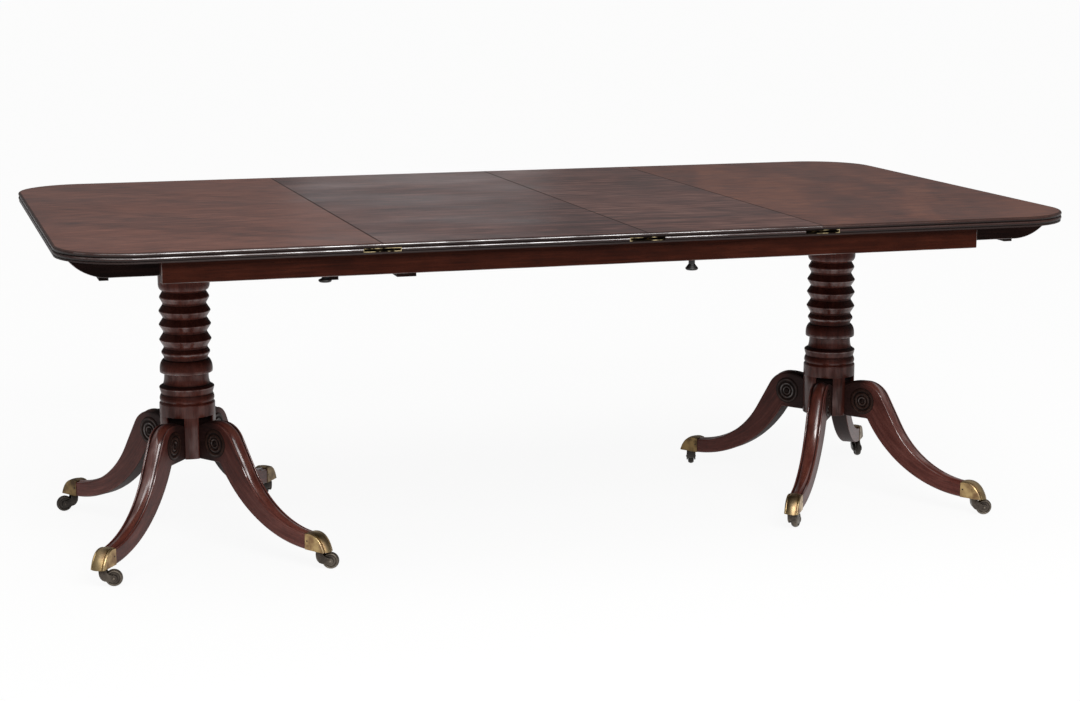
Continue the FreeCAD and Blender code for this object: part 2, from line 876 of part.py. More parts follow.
def make_pedestals():
    """Both columns with their legs, caps and castors."""
    post = column()
    blade = leg()
    toe_cap = cap()
    horn, axle = castor_horn()
    disc = wheel()
    for name, x, turn in (("left", -column_x, 0), ("right", column_x, 180)):
        save(spun(post, turn, x), name + "_column")
        for quarter, angle in leg_angles():
            front_back, place = quarter.split("_")
            if turn:
                front_back = {"front": "back", "back": "front"}[front_back]
            key = "_".join((name, front_back, place))
            heading = angle + turn
            save(spun(blade, heading, x), key + "_leg")
            save(spun(toe_cap, heading, x), key + "_cap")
            pivot = Rotation(Vector(0, 0, 1), heading).multVec(Vector(castor_reach, 0, 0))
            swivel = castor_headings[key]
            spot = (swivel, x + pivot.x, pivot.y)
            save(Part.makeCompound([spun(horn, *spot), spun(axle, *spot)]), key + "_castor")
            save(spun(disc, *spot), key + "_wheel")


os.makedirs("parts", exist_ok=True)
make_boards()
make_rails()
make_knobs()
make_underframes()
make_leaf_blocks()
make_pedestals()
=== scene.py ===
# %% [markdown]
# # A twin-pedestal dining table
#
# A mahogany table of the early nineteenth century kind: two end sections on ring-turned columns with
# reeded sabre legs, brass toe caps and castors, and two loose leaves carried between them on long rails.
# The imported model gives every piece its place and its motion. This lesson dresses it: the same forms with
# their fine mouldings, and polished, rubbed and tarnished surfaces.

# %% Load the frame
import math

import bmesh
import bpy
from mathutils import Matrix, Vector


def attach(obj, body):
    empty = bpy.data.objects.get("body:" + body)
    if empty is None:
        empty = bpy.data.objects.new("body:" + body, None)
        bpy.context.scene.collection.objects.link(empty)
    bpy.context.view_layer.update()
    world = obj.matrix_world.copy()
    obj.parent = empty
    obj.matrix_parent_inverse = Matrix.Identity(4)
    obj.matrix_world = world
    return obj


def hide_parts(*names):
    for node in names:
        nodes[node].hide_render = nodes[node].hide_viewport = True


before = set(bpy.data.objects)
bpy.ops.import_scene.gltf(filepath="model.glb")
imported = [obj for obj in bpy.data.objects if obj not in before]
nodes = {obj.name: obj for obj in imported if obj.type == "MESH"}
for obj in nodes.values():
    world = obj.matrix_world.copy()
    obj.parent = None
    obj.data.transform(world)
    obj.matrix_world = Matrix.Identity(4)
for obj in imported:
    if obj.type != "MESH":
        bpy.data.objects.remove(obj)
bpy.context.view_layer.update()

MM = 0.001

# %% [markdown]
# ## Two helpers for every node tree
#
# Colours are written as they look on a screen, as hex codes, and a shader wants linear light, so one function
# converts them. Shader trees and geometry trees are both nodes with settings and links, so one function adds
# a node of any kind: an input takes a value, or the socket that feeds it.

# %% Colour and node helpers
def linear(code):
    """Linear colour with alpha from a hex code such as #6a4f48."""
    parts = [int(code[i:i + 2], 16) / 255 for i in (1, 3, 5)]
    return [p / 12.92 if p <= 0.04045 else ((p + 0.055) / 1.055) ** 2.4 for p in parts] + [1.0]


def add(tree, kind, inputs=None, **settings):
    """New node with its settings; each input takes a value or the socket that feeds it."""
    node = tree.nodes.new(kind)
    for name, value in settings.items():
        setattr(node, name, value)
    for key, value in (inputs or {}).items():
        if isinstance(value, bpy.types.NodeSocket):
            tree.links.new(value, node.inputs[key])
        else:
            node.inputs[key].default_value = value
    return node


def blank_material(name):
    """Empty material with its tree and output."""
    material = bpy.data.materials.new(name)
    material.use_nodes = True
    material.node_tree.nodes.clear()
    return material, material.node_tree, add(material.node_tree, "ShaderNodeOutputMaterial")


print("linear mid grey", round(linear("#808080")[0], 3))

# %% [markdown]
# ## Mahogany
#
# Cuban or Honduran mahogany under old French polish: a red-brown ground with darker ribbons some 14 mm wide
# that run for hundreds of millimetres, a broad cloudy figure, fine fibre and short open pores. An image of
# veneer would repeat and would need unwrapping, so the figure is built from noises stretched along the grain.
# Each Mapping node is of the Texture kind, where Scale is simply the size of one feature in metres.
#
# A point attribute for wear is written into the shaped pieces: above zero on ridges, where hands and dusters have
# rubbed
# the colour thin, and below zero in quirks and grooves, where wax and dirt have gathered. It also carries painted
# light:
# painted shade on the upper flanks of the column rings, in the hub's seats, round the leg roots and on the leg soles,
# and a painted sheen on the lower ring flanks, the hub's strips and the roundels' rings. A second attribute darkens
# the edges of the boards below their top face.

# %% Figure, fibre and pores
def stretched(tree, place, along, length, width, detail, distortion=0.0, turn=0.0):
    """Noise drawn out along one axis, with the size of its features in millimetres."""
    size = [width * MM] * 3
    size[along] = length * MM
    where = add(tree, "ShaderNodeMapping", {"Vector": place, "Scale": size, "Rotation": (0, 0, turn)},
                vector_type="TEXTURE")
    inputs = {"Vector": where.outputs[0], "Scale": 1.0, "Detail": detail, "Distortion": distortion}
    return add(tree, "ShaderNodeTexNoise", inputs).outputs[0]


def wood_colour(grain, shades, figure, ribbon, wide, cloud, lean, mottled):
    """Colour of the wood before any wear, and the fibre, mottle and pores that the polish reads again."""
    tree = grain[0]
    dark, body, light = [linear(shade) for shade in shades]
    # Broad figure, ribbons, short flecks and fibre add up to one tone; the fibre is drawn 2.6 mm wide, because the
    # real one is finer than a pixel
    tone = add(tree, "ShaderNodeMapRange", {"Value": stretched(*grain, *cloud, 4, 0.8, lean), "From Min": 0.34,
                                            "From Max": 0.66, "To Min": 0.5 - figure / 2, "To Max": 0.5 + figure / 2})
    bands = stretched(*grain, 30 * wide, wide, 4, 0.6, lean * 0.3)
    bands = add(tree, "ShaderNodeMapRange", {"Value": bands, "From Min": 0.33, "From Max": 0.67,
                                             "To Min": -ribbon / 2, "To Max": ribbon / 2})
    fibre = stretched(*grain, 90, 2.6, 3)
    thread = add(tree, "ShaderNodeMapRange", {"Value": fibre, "To Min": -0.27, "To Max": 0.27})
    mottle = stretched(*grain, 60, 18, 4)
    fleck = add(tree, "ShaderNodeMapRange", {"Value": mottle, "From Min": 0.3, "From Max": 0.7, "To Min": -mottled,
                                             "To Max": mottled})
    for part in (bands, fleck, thread):
        tone = add(tree, "ShaderNodeMath", {0: tone.outputs[0], 1: part.outputs[0]})
    low = add(tree, "ShaderNodeMapRange", {"Value": tone.outputs[0], "From Max": 0.5}).outputs[0]
    high = add(tree, "ShaderNodeMapRange", {"Value": tone.outputs[0], "From Min": 0.5}).outputs[0]
    colour = add(tree, "ShaderNodeMix", {0: low, 6: dark, 7: body}, data_type="RGBA").outputs[2]
    colour = add(tree, "ShaderNodeMix", {0: high, 6: colour, 7: light}, data_type="RGBA").outputs[2]
    # Pores of 0.3 mm, drawn 1.5 mm wide to show at all
    pores = add(tree, "ShaderNodeMapRange", {"Value": stretched(*grain, 16, 1.5, 1), "From Min": 0.61,
                                             "From Max": 0.70, "To Max": 0.45}).outputs[0]
    colour = add(tree, "ShaderNodeMix", {0: pores, 6: colour, 7: linear("#1c0c08")}, data_type="RGBA").outputs[2]
    return colour, fibre, mottle, pores


print("figure helpers ready")

# %% Wear and polish
def mahogany(name, dark, body, light, rough, gloss, figure=0.4, ribbon=0.5, wide=14, cloud=(420, 150), lean=0.0,
             along=0, follows=None, bloom=0.08, rubbed_and_highlight="#74402f", mottled=0.16):
    """Polished mahogany; along is the axis of the grain, follows an attribute that goes with a bent piece."""
    material, tree, out = blank_material(name)
    if follows:
        place = add(tree, "ShaderNodeAttribute", attribute_name=follows).outputs["Vector"]
    else:
        place = add(tree, "ShaderNodeTexCoord").outputs["Object"]
    grain = (tree, place, along)
    shades = (dark, body, light)
    colour, fibre, mottle, pores = wood_colour(grain, shades, figure, ribbon, wide, cloud, lean, mottled)
    # The edges of the boards are darkened below their top face
    stain = add(tree, "ShaderNodeAttribute", attribute_name="stain").outputs["Fac"]
    colour = add(tree, "ShaderNodeMix", {0: stain, 6: colour, 7: linear("#27130f")}, data_type="RGBA").outputs[2]
    # Wear: rubbed thin and shiny in patches on the ridges, dark and dull in the grooves; the same mixes paint shade
    # and sheen
    wear = add(tree, "ShaderNodeAttribute", attribute_name="wear").outputs["Fac"]
    patch = add(tree, "ShaderNodeMapRange", {"Value": mottle, "From Min": 0.4, "From Max": 0.6,
                                             "To Min": 0.25}).outputs[0]
    ridge = add(tree, "ShaderNodeMapRange", {"Value": wear, "From Max": 0.4}).outputs[0]
    shine = add(tree, "ShaderNodeMath", {0: ridge, 1: patch}, operation="MULTIPLY").outputs[0]
    # The rubbed colour is worn polish on ridges, and a painted highlight on the roundel rings and lower ring flanks
    rubbed_and_highlight_share = add(tree, "ShaderNodeMath", {0: shine, 1: 0.35}, operation="MULTIPLY").outputs[0]
    # The near-black mix is dirt in grooves, and painted shade on ring flanks, hub seats, leg roots and soles
    dirt_and_shade = add(tree, "ShaderNodeMapRange", {"Value": wear, "From Max": -1.0, "To Max": 0.9}).outputs[0]
    colour = add(tree, "ShaderNodeMix", {0: rubbed_and_highlight_share, 6: colour, 7: linear(rubbed_and_highlight)}, data_type="RGBA").outputs[2]
    colour = add(tree, "ShaderNodeMix", {0: dirt_and_shade, 6: colour, 7: linear("#0c0504")}, data_type="RGBA").outputs[2]
    smears = add(tree, "ShaderNodeMapRange", {"Value": stretched(*grain, 300, 190, 2, 0.3),
                                              "To Min": rough - bloom, "To Max": rough + bloom}).outputs[0]
    polish = add(tree, "ShaderNodeMath", {0: dirt_and_shade, 1: 0.3, 2: smears}, operation="MULTIPLY_ADD").outputs[0]
    height = add(tree, "ShaderNodeMath", {0: pores, 1: -1.5, 2: fibre}, operation="MULTIPLY_ADD").outputs[0]
    bump = add(tree, "ShaderNodeBump", {"Height": height, "Strength": 0.12, "Distance": 0.0004})
    shader = add(tree, "ShaderNodeBsdfPrincipled", {
        "Base Color": colour, "Roughness": polish, "Normal": bump.outputs[0], "Specular IOR Level": gloss,
        "IOR": 1.5, "Coat Weight": shine, "Coat Roughness": 0.16, "Coat IOR": 2.5})
    tree.links.new(shader.outputs[0], out.inputs["Surface"])
    return material


print("polish ready")

# %% Mahogany finishes
# French polish on the end boards: warm red-brown with a soft mottled figure that lies across the grain
left_top_mahogany = mahogany("left_top_french_polished_mahogany", "#40251e", "#62392d", "#794b3c", 0.36, 0.35,
                             figure=0.4, ribbon=0.2, cloud=(120, 700), lean=0.8, rubbed_and_highlight="#30201b", mottled=0.28)
right_top_mahogany = mahogany("right_top_french_polished_mahogany", "#40251e", "#5b3428", "#734532", 0.36, 0.3,
                              figure=0.45, ribbon=0.2, cloud=(130, 620), lean=-0.3, rubbed_and_highlight="#30201b", mottled=0.28)
# The leaves are darker and more purple than the end boards, with long pale streaks in the polish
leaf_mahogany = mahogany("leaf_french_polished_mahogany", "#2e1916", "#4b2c27", "#67463e", 0.35, 0.3,
                         figure=0.5, ribbon=0.65, cloud=(300, 260), bloom=0.12, rubbed_and_highlight="#30201b", mottled=0.34)
# The narrow leaf is a little browner than the wide one
narrow_mahogany = mahogany("narrow_leaf_french_polished_mahogany", "#36201b", "#55342d", "#6f4d43", 0.35, 0.3,
                           figure=0.45, ribbon=0.65, cloud=(260, 300), bloom=0.12, rubbed_and_highlight="#30201b", mottled=0.34)
# Wax on planed wood: dull and deep red on the rails; the frame below is nearly black, a painted shade under the top
rail_mahogany = mahogany("rail_waxed_mahogany", "#1b0804", "#2f1108", "#3f1b10", 0.5, 0.05, figure=0.15, ribbon=0.35,
                         wide=5)
frame_mahogany_painted_shade = mahogany("underframe_stained_mahogany", "#0e0605", "#1b0d0a", "#2a1612", 0.55, 0.05, wide=7)
cross_mahogany_painted_shade = mahogany("batten_stained_mahogany", "#0e0605", "#1b0d0a", "#2a1612", 0.55, 0.05, wide=7, along=1)
# Turned and carved wood: near black in its hollows, red-brown on its faces, bright lines on its ridges, painted shade
# on ring flanks
column_mahogany = mahogany("column_turned_mahogany", "#200c08", "#431c15", "#5b2d24", 0.39, 0.09, ribbon=0.25, wide=8,
                           along=2)
leg_mahogany = mahogany("leg_carved_mahogany", "#2c120e", "#552821", "#75453d", 0.38, 0.2, ribbon=0.3, wide=8,
                        follows="grain")
# Carved roundels: nearly black with a dark eye; their greyish rings are a lighter colour, a painted highlight
roundel_mahogany = mahogany("roundel_carved_mahogany", "#180d0a", "#2c1b16", "#402c25", 0.42, 0.1, rubbed_and_highlight="#66534a")
print("made 10 mahogany finishes")

# %% [markdown]
# ## Brass, bronze and ebonised wood
#
# The toe caps are cast brass, lacquered once and long since dulled: warm yellow where they are rubbed, brown in
# the grooves. The castors are darker, a bronze that has turned nearly black with floor dirt. At the back, both
# are given darker copies of their finishes, as painted shade. The screw knobs are ebonised: pear or beech stained
# black and polished. An image of tarnish would need unwrapping, so each finish is made of two noises at real sizes:
# a cloud of tarnish some 20 mm across, and casting grain of about 1 mm, drawn 1.6 mm wide so that it shows.

# %% Tarnish and dirt
def aged(name, ground, tarnish, bright, rough, metallic, dirt, spread=(0.38, 0.66)):
    """Surface with clouds of tarnish, rubbed ridges and dirt in its grooves."""
    material, tree, out = blank_material(name)
    place = add(tree, "ShaderNodeTexCoord").outputs["Object"]
    cloud = add(tree, "ShaderNodeTexNoise", {"Vector": place, "Scale": 1 / (20 * MM), "Detail": 4.0}).outputs[0]
    grit = add(tree, "ShaderNodeTexNoise", {"Vector": place, "Scale": 1 / (1.6 * MM), "Detail": 2.0}).outputs[0]
    wear = add(tree, "ShaderNodeAttribute", attribute_name="wear").outputs["Fac"]
    share = add(tree, "ShaderNodeMapRange", {"Value": cloud, "From Min": spread[0], "From Max": spread[1]}).outputs[0]
    colour = add(tree, "ShaderNodeMix", {0: share, 6: linear(ground), 7: linear(tarnish)}, data_type="RGBA")
    ridge = add(tree, "ShaderNodeMapRange", {"Value": wear, "To Max": 0.8}).outputs[0]
    colour = add(tree, "ShaderNodeMix", {0: ridge, 6: colour.outputs[2], 7: linear(bright)}, data_type="RGBA")
    groove = add(tree, "ShaderNodeMapRange", {"Value": wear, "From Max": -1.0, "To Max": 0.9}).outputs[0]
    colour = add(tree, "ShaderNodeMix", {0: groove, 6: colour.outputs[2], 7: linear(dirt)}, data_type="RGBA")
    polish = add(tree, "ShaderNodeMapRange", {"Value": cloud, "From Min": 0.3, "From Max": 0.7,
                                              "To Min": rough - 0.08, "To Max": rough + 0.12}).outputs[0]
    bump = add(tree, "ShaderNodeBump", {"Height": grit, "Strength": 0.15, "Distance": 0.0003})
    shader = add(tree, "ShaderNodeBsdfPrincipled", {
        "Base Color": colour.outputs[2], "Roughness": polish, "Metallic": metallic, "Normal": bump.outputs[0]})
    tree.links.new(shader.outputs[0], out.inputs["Surface"])
    return material


print("tarnish ready")

# %% Metal and knob finishes
# Dulled cast brass: warm and pale, with soft brown clouds
cap_brass = aged("aged_cast_brass", "#b69b6d", "#886b4d", "#e6d3ac", 0.36, 1.0, "#4c3b26")
# The caps at the back are a darker copy, painted shade: brown, with a dull yellow left on their ridges
back_cap_brass_painted_shade = aged("dull_cast_brass", "#7a6443", "#4d3c2b", "#ab9770", 0.42, 1.0, "#2c2216")
# Brass of the clip sockets: nearly black, with a few bright patches of sharp outline
socket_brass = aged("clip_socket_brass", "#d6c296", "#1e1712", "#e0d0a8", 0.42, 1.0, "#2a2016", spread=(0.38, 0.5))
# Bronze under floor dirt: grey-brown and dull, lighter where it rolls
castor_bronze = aged("dark_patinated_bronze", "#6b6258", "#463e38", "#8d8274", 0.45, 0.75, "#1a1512")
# The same bronze, darker for the back castors as painted shade: hardly metal any more, with a faint light on its edges
back_castor_bronze_painted_shade = aged("blackened_bronze", "#3a342f", "#26211d", "#5a5148", 0.5, 0.6, "#120e0c")
# Wood stained black and polished: a dark that still shows a soft light on its rim
ebonised_wood = aged("ebonised_polished_wood", "#141010", "#0b0909", "#2a211d", 0.32, 0.0, "#050404")
print("made 5 metal finishes and 1 of ebonised wood")

# %% [markdown]
# ## Small tools for meshes
#
# Every shaped piece is a closed mesh in the table's own frame. These helpers turn points in millimetres into a
# mesh, ease its arrises with a bevel, cut pockets with a Boolean, and finish it: doubles merged, normals outward,
# smooth shading with sharp creases. A large flat face keeps its own normal, so the edges round it are marked sharp.

# %% Shells and bars
def shell(name, points, faces, wear=None):
    """Mesh from points in millimetres, with an optional wear value for each point."""
    mesh = bpy.data.meshes.new(name)
    mesh.from_pydata([Vector(p) * MM for p in points], [], faces)
    if wear:
        mesh.attributes.new("wear", "FLOAT", "POINT").data.foreach_set("value", wear)
    return mesh


def prism(outline, low, high):
    """Closed bar with an outline in the XZ plane between two values of Y."""
    count = len(outline)
    points = [(x, y, z) for y in (low, high) for x, z in outline]
    faces = [[i, (i + 1) % count, count + (i + 1) % count, count + i] for i in range(count)]
    return shell("prism", points, faces + [range(count), range(count, 2 * count)])


print("shells and bars ready")

# %% Eased arrises
def eased(mesh, width, segments=2, angle=30):
    """The same mesh with its sharp edges rounded, and the rounding marked as worn."""
    work = bmesh.new()
    work.from_mesh(mesh)
    bmesh.ops.remove_doubles(work, verts=work.verts, dist=1e-6)
    bmesh.ops.recalc_face_normals(work, faces=work.faces)
    sharp = math.radians(angle)
    edges = [e for e in work.edges if e.is_convex and len(e.link_faces) == 2 and e.calc_face_angle() > sharp]
    rounded = bmesh.ops.bevel(work, geom=edges, offset=width * MM, segments=segments, affect="EDGES", profile=0.5)
    layer = work.verts.layers.float.get("wear") or work.verts.layers.float.new("wear")
    fresh = set(rounded["faces"])
    for vert in {vert for face in fresh for vert in face.verts}:
        if all(face in fresh for face in vert.link_faces):
            vert[layer] = 0.6  # only the middle of the rounding, so that flat faces stay unworn
    work.to_mesh(mesh)
    work.free()
    return mesh


print("easing ready")

# %% Cutting and joining
def evaluated(thing):
    """Plain mesh of an object with its modifiers carried out; the object goes."""
    mesh = bpy.data.meshes.new_from_object(thing.evaluated_get(bpy.context.evaluated_depsgraph_get()))
    thing.modifiers.clear()
    bpy.data.objects.remove(thing)
    return mesh


def cut(mesh, cutters):
    """Mesh with closed cutter meshes taken out of it."""
    joined = together(cutters)
    tool = bpy.data.objects.new("tool", joined)
    blank = bpy.data.objects.new("blank", mesh)
    for thing in (tool, blank):
        bpy.context.collection.objects.link(thing)
    pocket = blank.modifiers.new("pocket", "BOOLEAN")
    pocket.operation = "DIFFERENCE"
    pocket.solver = "EXACT"
    pocket.object = tool
    result = evaluated(blank)
    bpy.data.objects.remove(tool)
    return result


def together(meshes):
    """One mesh from several."""
    work = bmesh.new()
    for mesh in meshes:
        work.from_mesh(mesh)
    bmesh.ops.recalc_face_normals(work, faces=work.faces)
    result = bpy.data.meshes.new("joined")
    work.to_mesh(result)
    work.free()
    return result


print("cutting and joining ready")

# %% Finishing a piece
def piece(name, mesh, finish, body, slot, *replaced, crease=32, flat=0.02):
    """Finished piece on a body; it stands for the nodes it names. Faces over flat square metres get sharp edges."""
    work = bmesh.new()
    work.from_mesh(mesh)
    bmesh.ops.remove_doubles(work, verts=work.verts, dist=2e-6)
    bmesh.ops.recalc_face_normals(work, faces=work.faces)
    work.to_mesh(mesh)
    work.free()
    mesh.shade_smooth()
    mesh.set_sharp_from_angle(angle=math.radians(crease))
    work = bmesh.new()
    work.from_mesh(mesh)
    for face in work.faces:
        if face.calc_area() > flat:
            for edge in face.edges:
                edge.smooth = False
    work.to_mesh(mesh)
    work.free()
    mesh.materials.clear()
    mesh.materials.append(finish)
    mesh.name = name
    thing = bpy.data.objects.new(name, mesh)
    bpy.context.collection.objects.link(thing)
    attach(thing, body)
    if replaced:
        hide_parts(*replaced)
    return thing


def placed(mesh, angle, x, y=0.0):
    """Copy turned about Z at the origin, in degrees, then moved, in millimetres."""
    copy = mesh.copy()
    copy.transform(Matrix.Translation((x * MM, y * MM, 0)) @ Matrix.Rotation(math.radians(angle), 4, "Z"))
    return copy


print("pieces can be finished and placed")

# %% [markdown]
# ## A lathe in Geometry Nodes
#
# Columns, knobs, wheels, roundels and screw heads are all turned: an outline swept round an axis. Spin or the
# Screw modifier would do it once, but here one tree serves them all. Its host is a line of points, each a radius
# and a height with its wear. The tree lays a grid, reads one point of the outline for each row, and bends the rows
# into rings. The seam and the poles are merged, so each turned piece comes out closed.

# %% The lathe tree
def new_tree(name, **sockets):
    """Geometry tree with named inputs; its group input and output come with it."""
    tree = bpy.data.node_groups.new(name, "GeometryNodeTree")
    for label, kind in sockets.items():
        tree.interface.new_socket(label, in_out="INPUT", socket_type="NodeSocket" + kind)
    tree.interface.new_socket("Made", in_out="OUTPUT", socket_type="NodeSocketGeometry")
    return tree, add(tree, "NodeGroupInput").outputs, add(tree, "NodeGroupOutput")


lathe, given, done = new_tree("lathe", Outline="Geometry", Segments="Int", Finish="Material")
count = add(lathe, "GeometryNodeAttributeDomainSize", {"Geometry": given["Outline"]}).outputs["Point Count"]
rings = add(lathe, "ShaderNodeMath", {0: given["Segments"], 1: 1.0}).outputs[0]
grid = add(lathe, "GeometryNodeMeshGrid", {"Size X": 1.0, "Size Y": 1.0, "Vertices X": count, "Vertices Y": rings})
spot = add(lathe, "ShaderNodeSeparateXYZ", {0: add(lathe, "GeometryNodeInputPosition").outputs[0]}).outputs
share = add(lathe, "ShaderNodeMath", {0: spot["X"], 1: 0.5}).outputs[0]
last = add(lathe, "ShaderNodeMath", {0: count, 1: 1.0}, operation="SUBTRACT").outputs[0]
row = add(lathe, "ShaderNodeMath", {0: share, 1: last}, operation="MULTIPLY").outputs[0]
row = add(lathe, "ShaderNodeMath", {0: row}, operation="ROUND").outputs[0]
point = add(lathe, "GeometryNodeInputPosition").outputs[0]
point = add(lathe, "GeometryNodeSampleIndex", {"Geometry": given["Outline"], "Value": point, "Index": row},
            data_type="FLOAT_VECTOR").outputs[0]
radius = add(lathe, "ShaderNodeSeparateXYZ", {0: point}).outputs
worn = add(lathe, "GeometryNodeInputNamedAttribute", {"Name": "wear"}, data_type="FLOAT").outputs[0]
worn = add(lathe, "GeometryNodeSampleIndex", {"Geometry": given["Outline"], "Value": worn, "Index": row},
           data_type="FLOAT").outputs[0]
kept = add(lathe, "GeometryNodeStoreNamedAttribute", {"Geometry": grid.outputs[0], "Name": "wear", "Value": worn},
           data_type="FLOAT", domain="POINT")
turn = add(lathe, "ShaderNodeMath", {0: spot["Y"], 1: 0.5}).outputs[0]
turn = add(lathe, "ShaderNodeMath", {0: turn, 1: 2 * math.pi}, operation="MULTIPLY").outputs[0]
cosine = add(lathe, "ShaderNodeMath", {0: turn}, operation="COSINE").outputs[0]
sine = add(lathe, "ShaderNodeMath", {0: turn}, operation="SINE").outputs[0]
x = add(lathe, "ShaderNodeMath", {0: cosine, 1: radius["X"]}, operation="MULTIPLY").outputs[0]
y = add(lathe, "ShaderNodeMath", {0: sine, 1: radius["X"]}, operation="MULTIPLY").outputs[0]
place = add(lathe, "ShaderNodeCombineXYZ", {"X": x, "Y": y, "Z": radius["Z"]}).outputs[0]
bent = add(lathe, "GeometryNodeSetPosition", {"Geometry": kept.outputs[0], "Position": place})
closed = add(lathe, "GeometryNodeMergeByDistance", {"Geometry": bent.outputs[0], "Distance": 1e-5})
real = add(lathe, "GeometryNodeRealizeInstances", {"Geometry": closed.outputs[0]})
finished = add(lathe, "GeometryNodeSetMaterial", {"Geometry": real.outputs[0], "Material": given["Finish"]})
lathe.links.new(finished.outputs[0], done.inputs[0])
print("lathe tree has", len(lathe.nodes), "nodes")

# %% [markdown]
# ## Running a tree, and easing a turned outline
#
# A modifier's inputs are set by the identifiers of their sockets before the host is first evaluated. The outline
# of a turning is drawn with straight runs and corners. A real tool leaves each ridge a little round and each quirk
# a little filled, so every corner becomes a short curve, and that is also where wear is known: a left turn of the
# outline is a ridge and a right turn is a groove.

# %% Turning helpers
def made(host, tree, **values):
    """Plain mesh that a tree makes from a host mesh."""
    thing = bpy.data.objects.new(tree.name, host)
    bpy.context.collection.objects.link(thing)
    modifier = thing.modifiers.new(tree.name, "NODES")
    modifier.node_group = tree
    for item in tree.interface.items_tree:
        if item.in_out == "INPUT" and item.name in values:
            modifier[item.identifier] = values[item.name]
    return evaluated(thing)


def softened(corners, ease):
    """Outline of (radius, height, wear) with each corner eased."""
    line = [(*corners[0], 0.0)]
    for before, here, after in zip(corners, corners[1:], corners[2:]):
        before, here, after = Vector(before), Vector(here), Vector(after)
        back, on = (here - before), (after - here)
        angle = math.atan2(back.x * on.y - back.y * on.x, back.dot(on))
        if abs(angle) < 0.2:
            line.append((*here, 0.0))
            continue
        reach = min(ease, 0.4 * back.length, 0.4 * on.length)
        start, stop = here - back.normalized() * reach, here + on.normalized() * reach
        depth = max(-1.0, min(1.0, angle / 1.1))
        if back.length > 4 * reach + 2:
            line.append((*(start - back.normalized() * 1.5), 0.0))
        for t in (0.0, 0.25, 0.5, 0.75, 1.0):
            spot = start * (1 - t) ** 2 + here * 2 * t * (1 - t) + stop * t * t
            line.append((*spot, depth * (1 - abs(2 * t - 1) * 0.5)))
        if on.length > 4 * reach + 2:
            line.append((*(stop + on.normalized() * 1.5), 0.0))
    return line + [(*corners[-1], 0.0)]


def turned(line, finish, segments=72):
    """Closed turned mesh about Z from an eased outline."""
    host = shell("outline", [(r, 0, z) for r, z, _ in line], [], [w for _, _, w in line])
    return made(host, lathe, Segments=segments, Finish=finish)


def arc(centre, radius, start, stop, steps):
    """Points of a circle, angles in degrees."""
    angles = [math.radians(start + (stop - start) * i / steps) for i in range(steps + 1)]
    return [(centre[0] + radius * math.cos(a), centre[1] + radius * math.sin(a)) for a in angles]


def bow(start, middle, stop, steps):
    """Smooth curve through three points of an outline."""
    a, b, c = Vector(start), Vector(middle), Vector(stop)
    control = b * 2 - (a + c) / 2
    times = [i / steps for i in range(steps + 1)]
    return [tuple(a * (1 - t) ** 2 + control * 2 * t * (1 - t) + c * t * t) for t in times]


print("turning helpers ready")

# %% [markdown]
# ## The turned columns
#
# Each column is one turning: a collar over the hub, a soft ring and an arris ring, a scooped neck, a drum with a
# rounded shoulder, five sharp rings that stand like stacked plates, a plain collar and the stem. A pile of separate
# rings would be quicker, but the real one is a single piece of wood, so the lathe takes its whole outline at once.
# The rings are what the eye remembers: their lower flanks catch the pale floor and their upper flanks go dark, and
# the colour paints that in as well, as painted sheen and painted shade. Below, the hub is cut into for the four legs,
# so it isn't a turning but a plain prism with four seats.

# %% Outline of a column
column_places = {"left": -754.0, "right": 754.0}
collar_top, neck_low, neck_high = 308, 348, 370
shaft = [(0, 278.5), (59.5, 278.5), (59.56, 278.56), (59.56, 305)]
shaft += bow((55.4, 307.6), (58.6, 314.8), (55.2, 325), 10)
shaft += [(59.2, 339.5)] + bow((50.7, 345), (47.9, 357), (47.7, 371), 8)
shaft += [(56.5, 371), (56.6, 379)] + bow((56.4, 381.5), (54.6, 391), (49.8, 399), 7) + [(46.8, 399)]
for middle, crest, half, flat in ((414.7, 52, 9.5, 3), (442.5, 55.6, 15, 1.6), (475, 55.5, 14.5, 1.6),
                                  (504.5, 55.2, 14.2, 1.6), (534.2, 53.2, 12.5, 3)):
    shaft += [(46.8, middle - half), (crest, middle - flat / 2), (crest, middle + flat / 2), (46.8, middle + half)]
shaft += bow((46.8, 548), (52.8, 552.9), (55, 562), 8) + [(55, 587), (48, 590), (48, 653.9), (0, 653.9)]
print("column outline of", len(shaft), "corners")

# %% Hub
leg_angles = {"left": {"front_outer": 235, "front_inner": 305, "back_outer": 125, "back_inner": 55},
              "right": {"front_inner": 235, "front_outer": 305, "back_inner": 125, "back_outer": 55}}
hub_radius, hub_foot, hub_head = 59.5, 189.0, 280.0
seat_half, seat_back, seat_mouth = 20, 46, 56.04  # a leg's seat: its half width, and its reach from the axis


def hub_outline():
    """Plan of the hub: a circle with a square seat for each leg."""
    corners = []
    angles = sorted(leg_angles["left"].values())
    seat = ((seat_mouth, -seat_half), (seat_back, -seat_half), (seat_back, seat_half), (seat_mouth, seat_half))
    edge = math.degrees(math.asin(seat_half / hub_radius))
    for angle, following in zip(angles, angles[1:] + [angles[0] + 360]):
        a = math.radians(angle)
        corners += [(x * math.cos(a) - y * math.sin(a), x * math.sin(a) + y * math.cos(a)) for x, y in seat]
        corners += arc((0, 0), hub_radius, angle + edge + 3, following - edge - 3, 8)
    return corners


hub_plan = hub_outline()
size = len(hub_plan)
points = [(x, y, z) for z in (hub_foot, hub_head) for x, y in hub_plan]
sides = [[i, (i + 1) % size, size + (i + 1) % size, size + i] for i in range(size)]
hub = eased(shell("hub", points, sides + [range(size), range(size, 2 * size)]), 0.8)
for vert, value in zip(hub.vertices, hub.attributes["wear"].data):
    in_seat = vert.co.xy.length < (hub_radius - 2) * MM
    value.value = -1.0 if in_seat else 0.1  # painted shade darkens the seats; the strips between them get a faint painted sheen of gloss and lighter colour
print("hub of", len(hub.polygons), "faces")

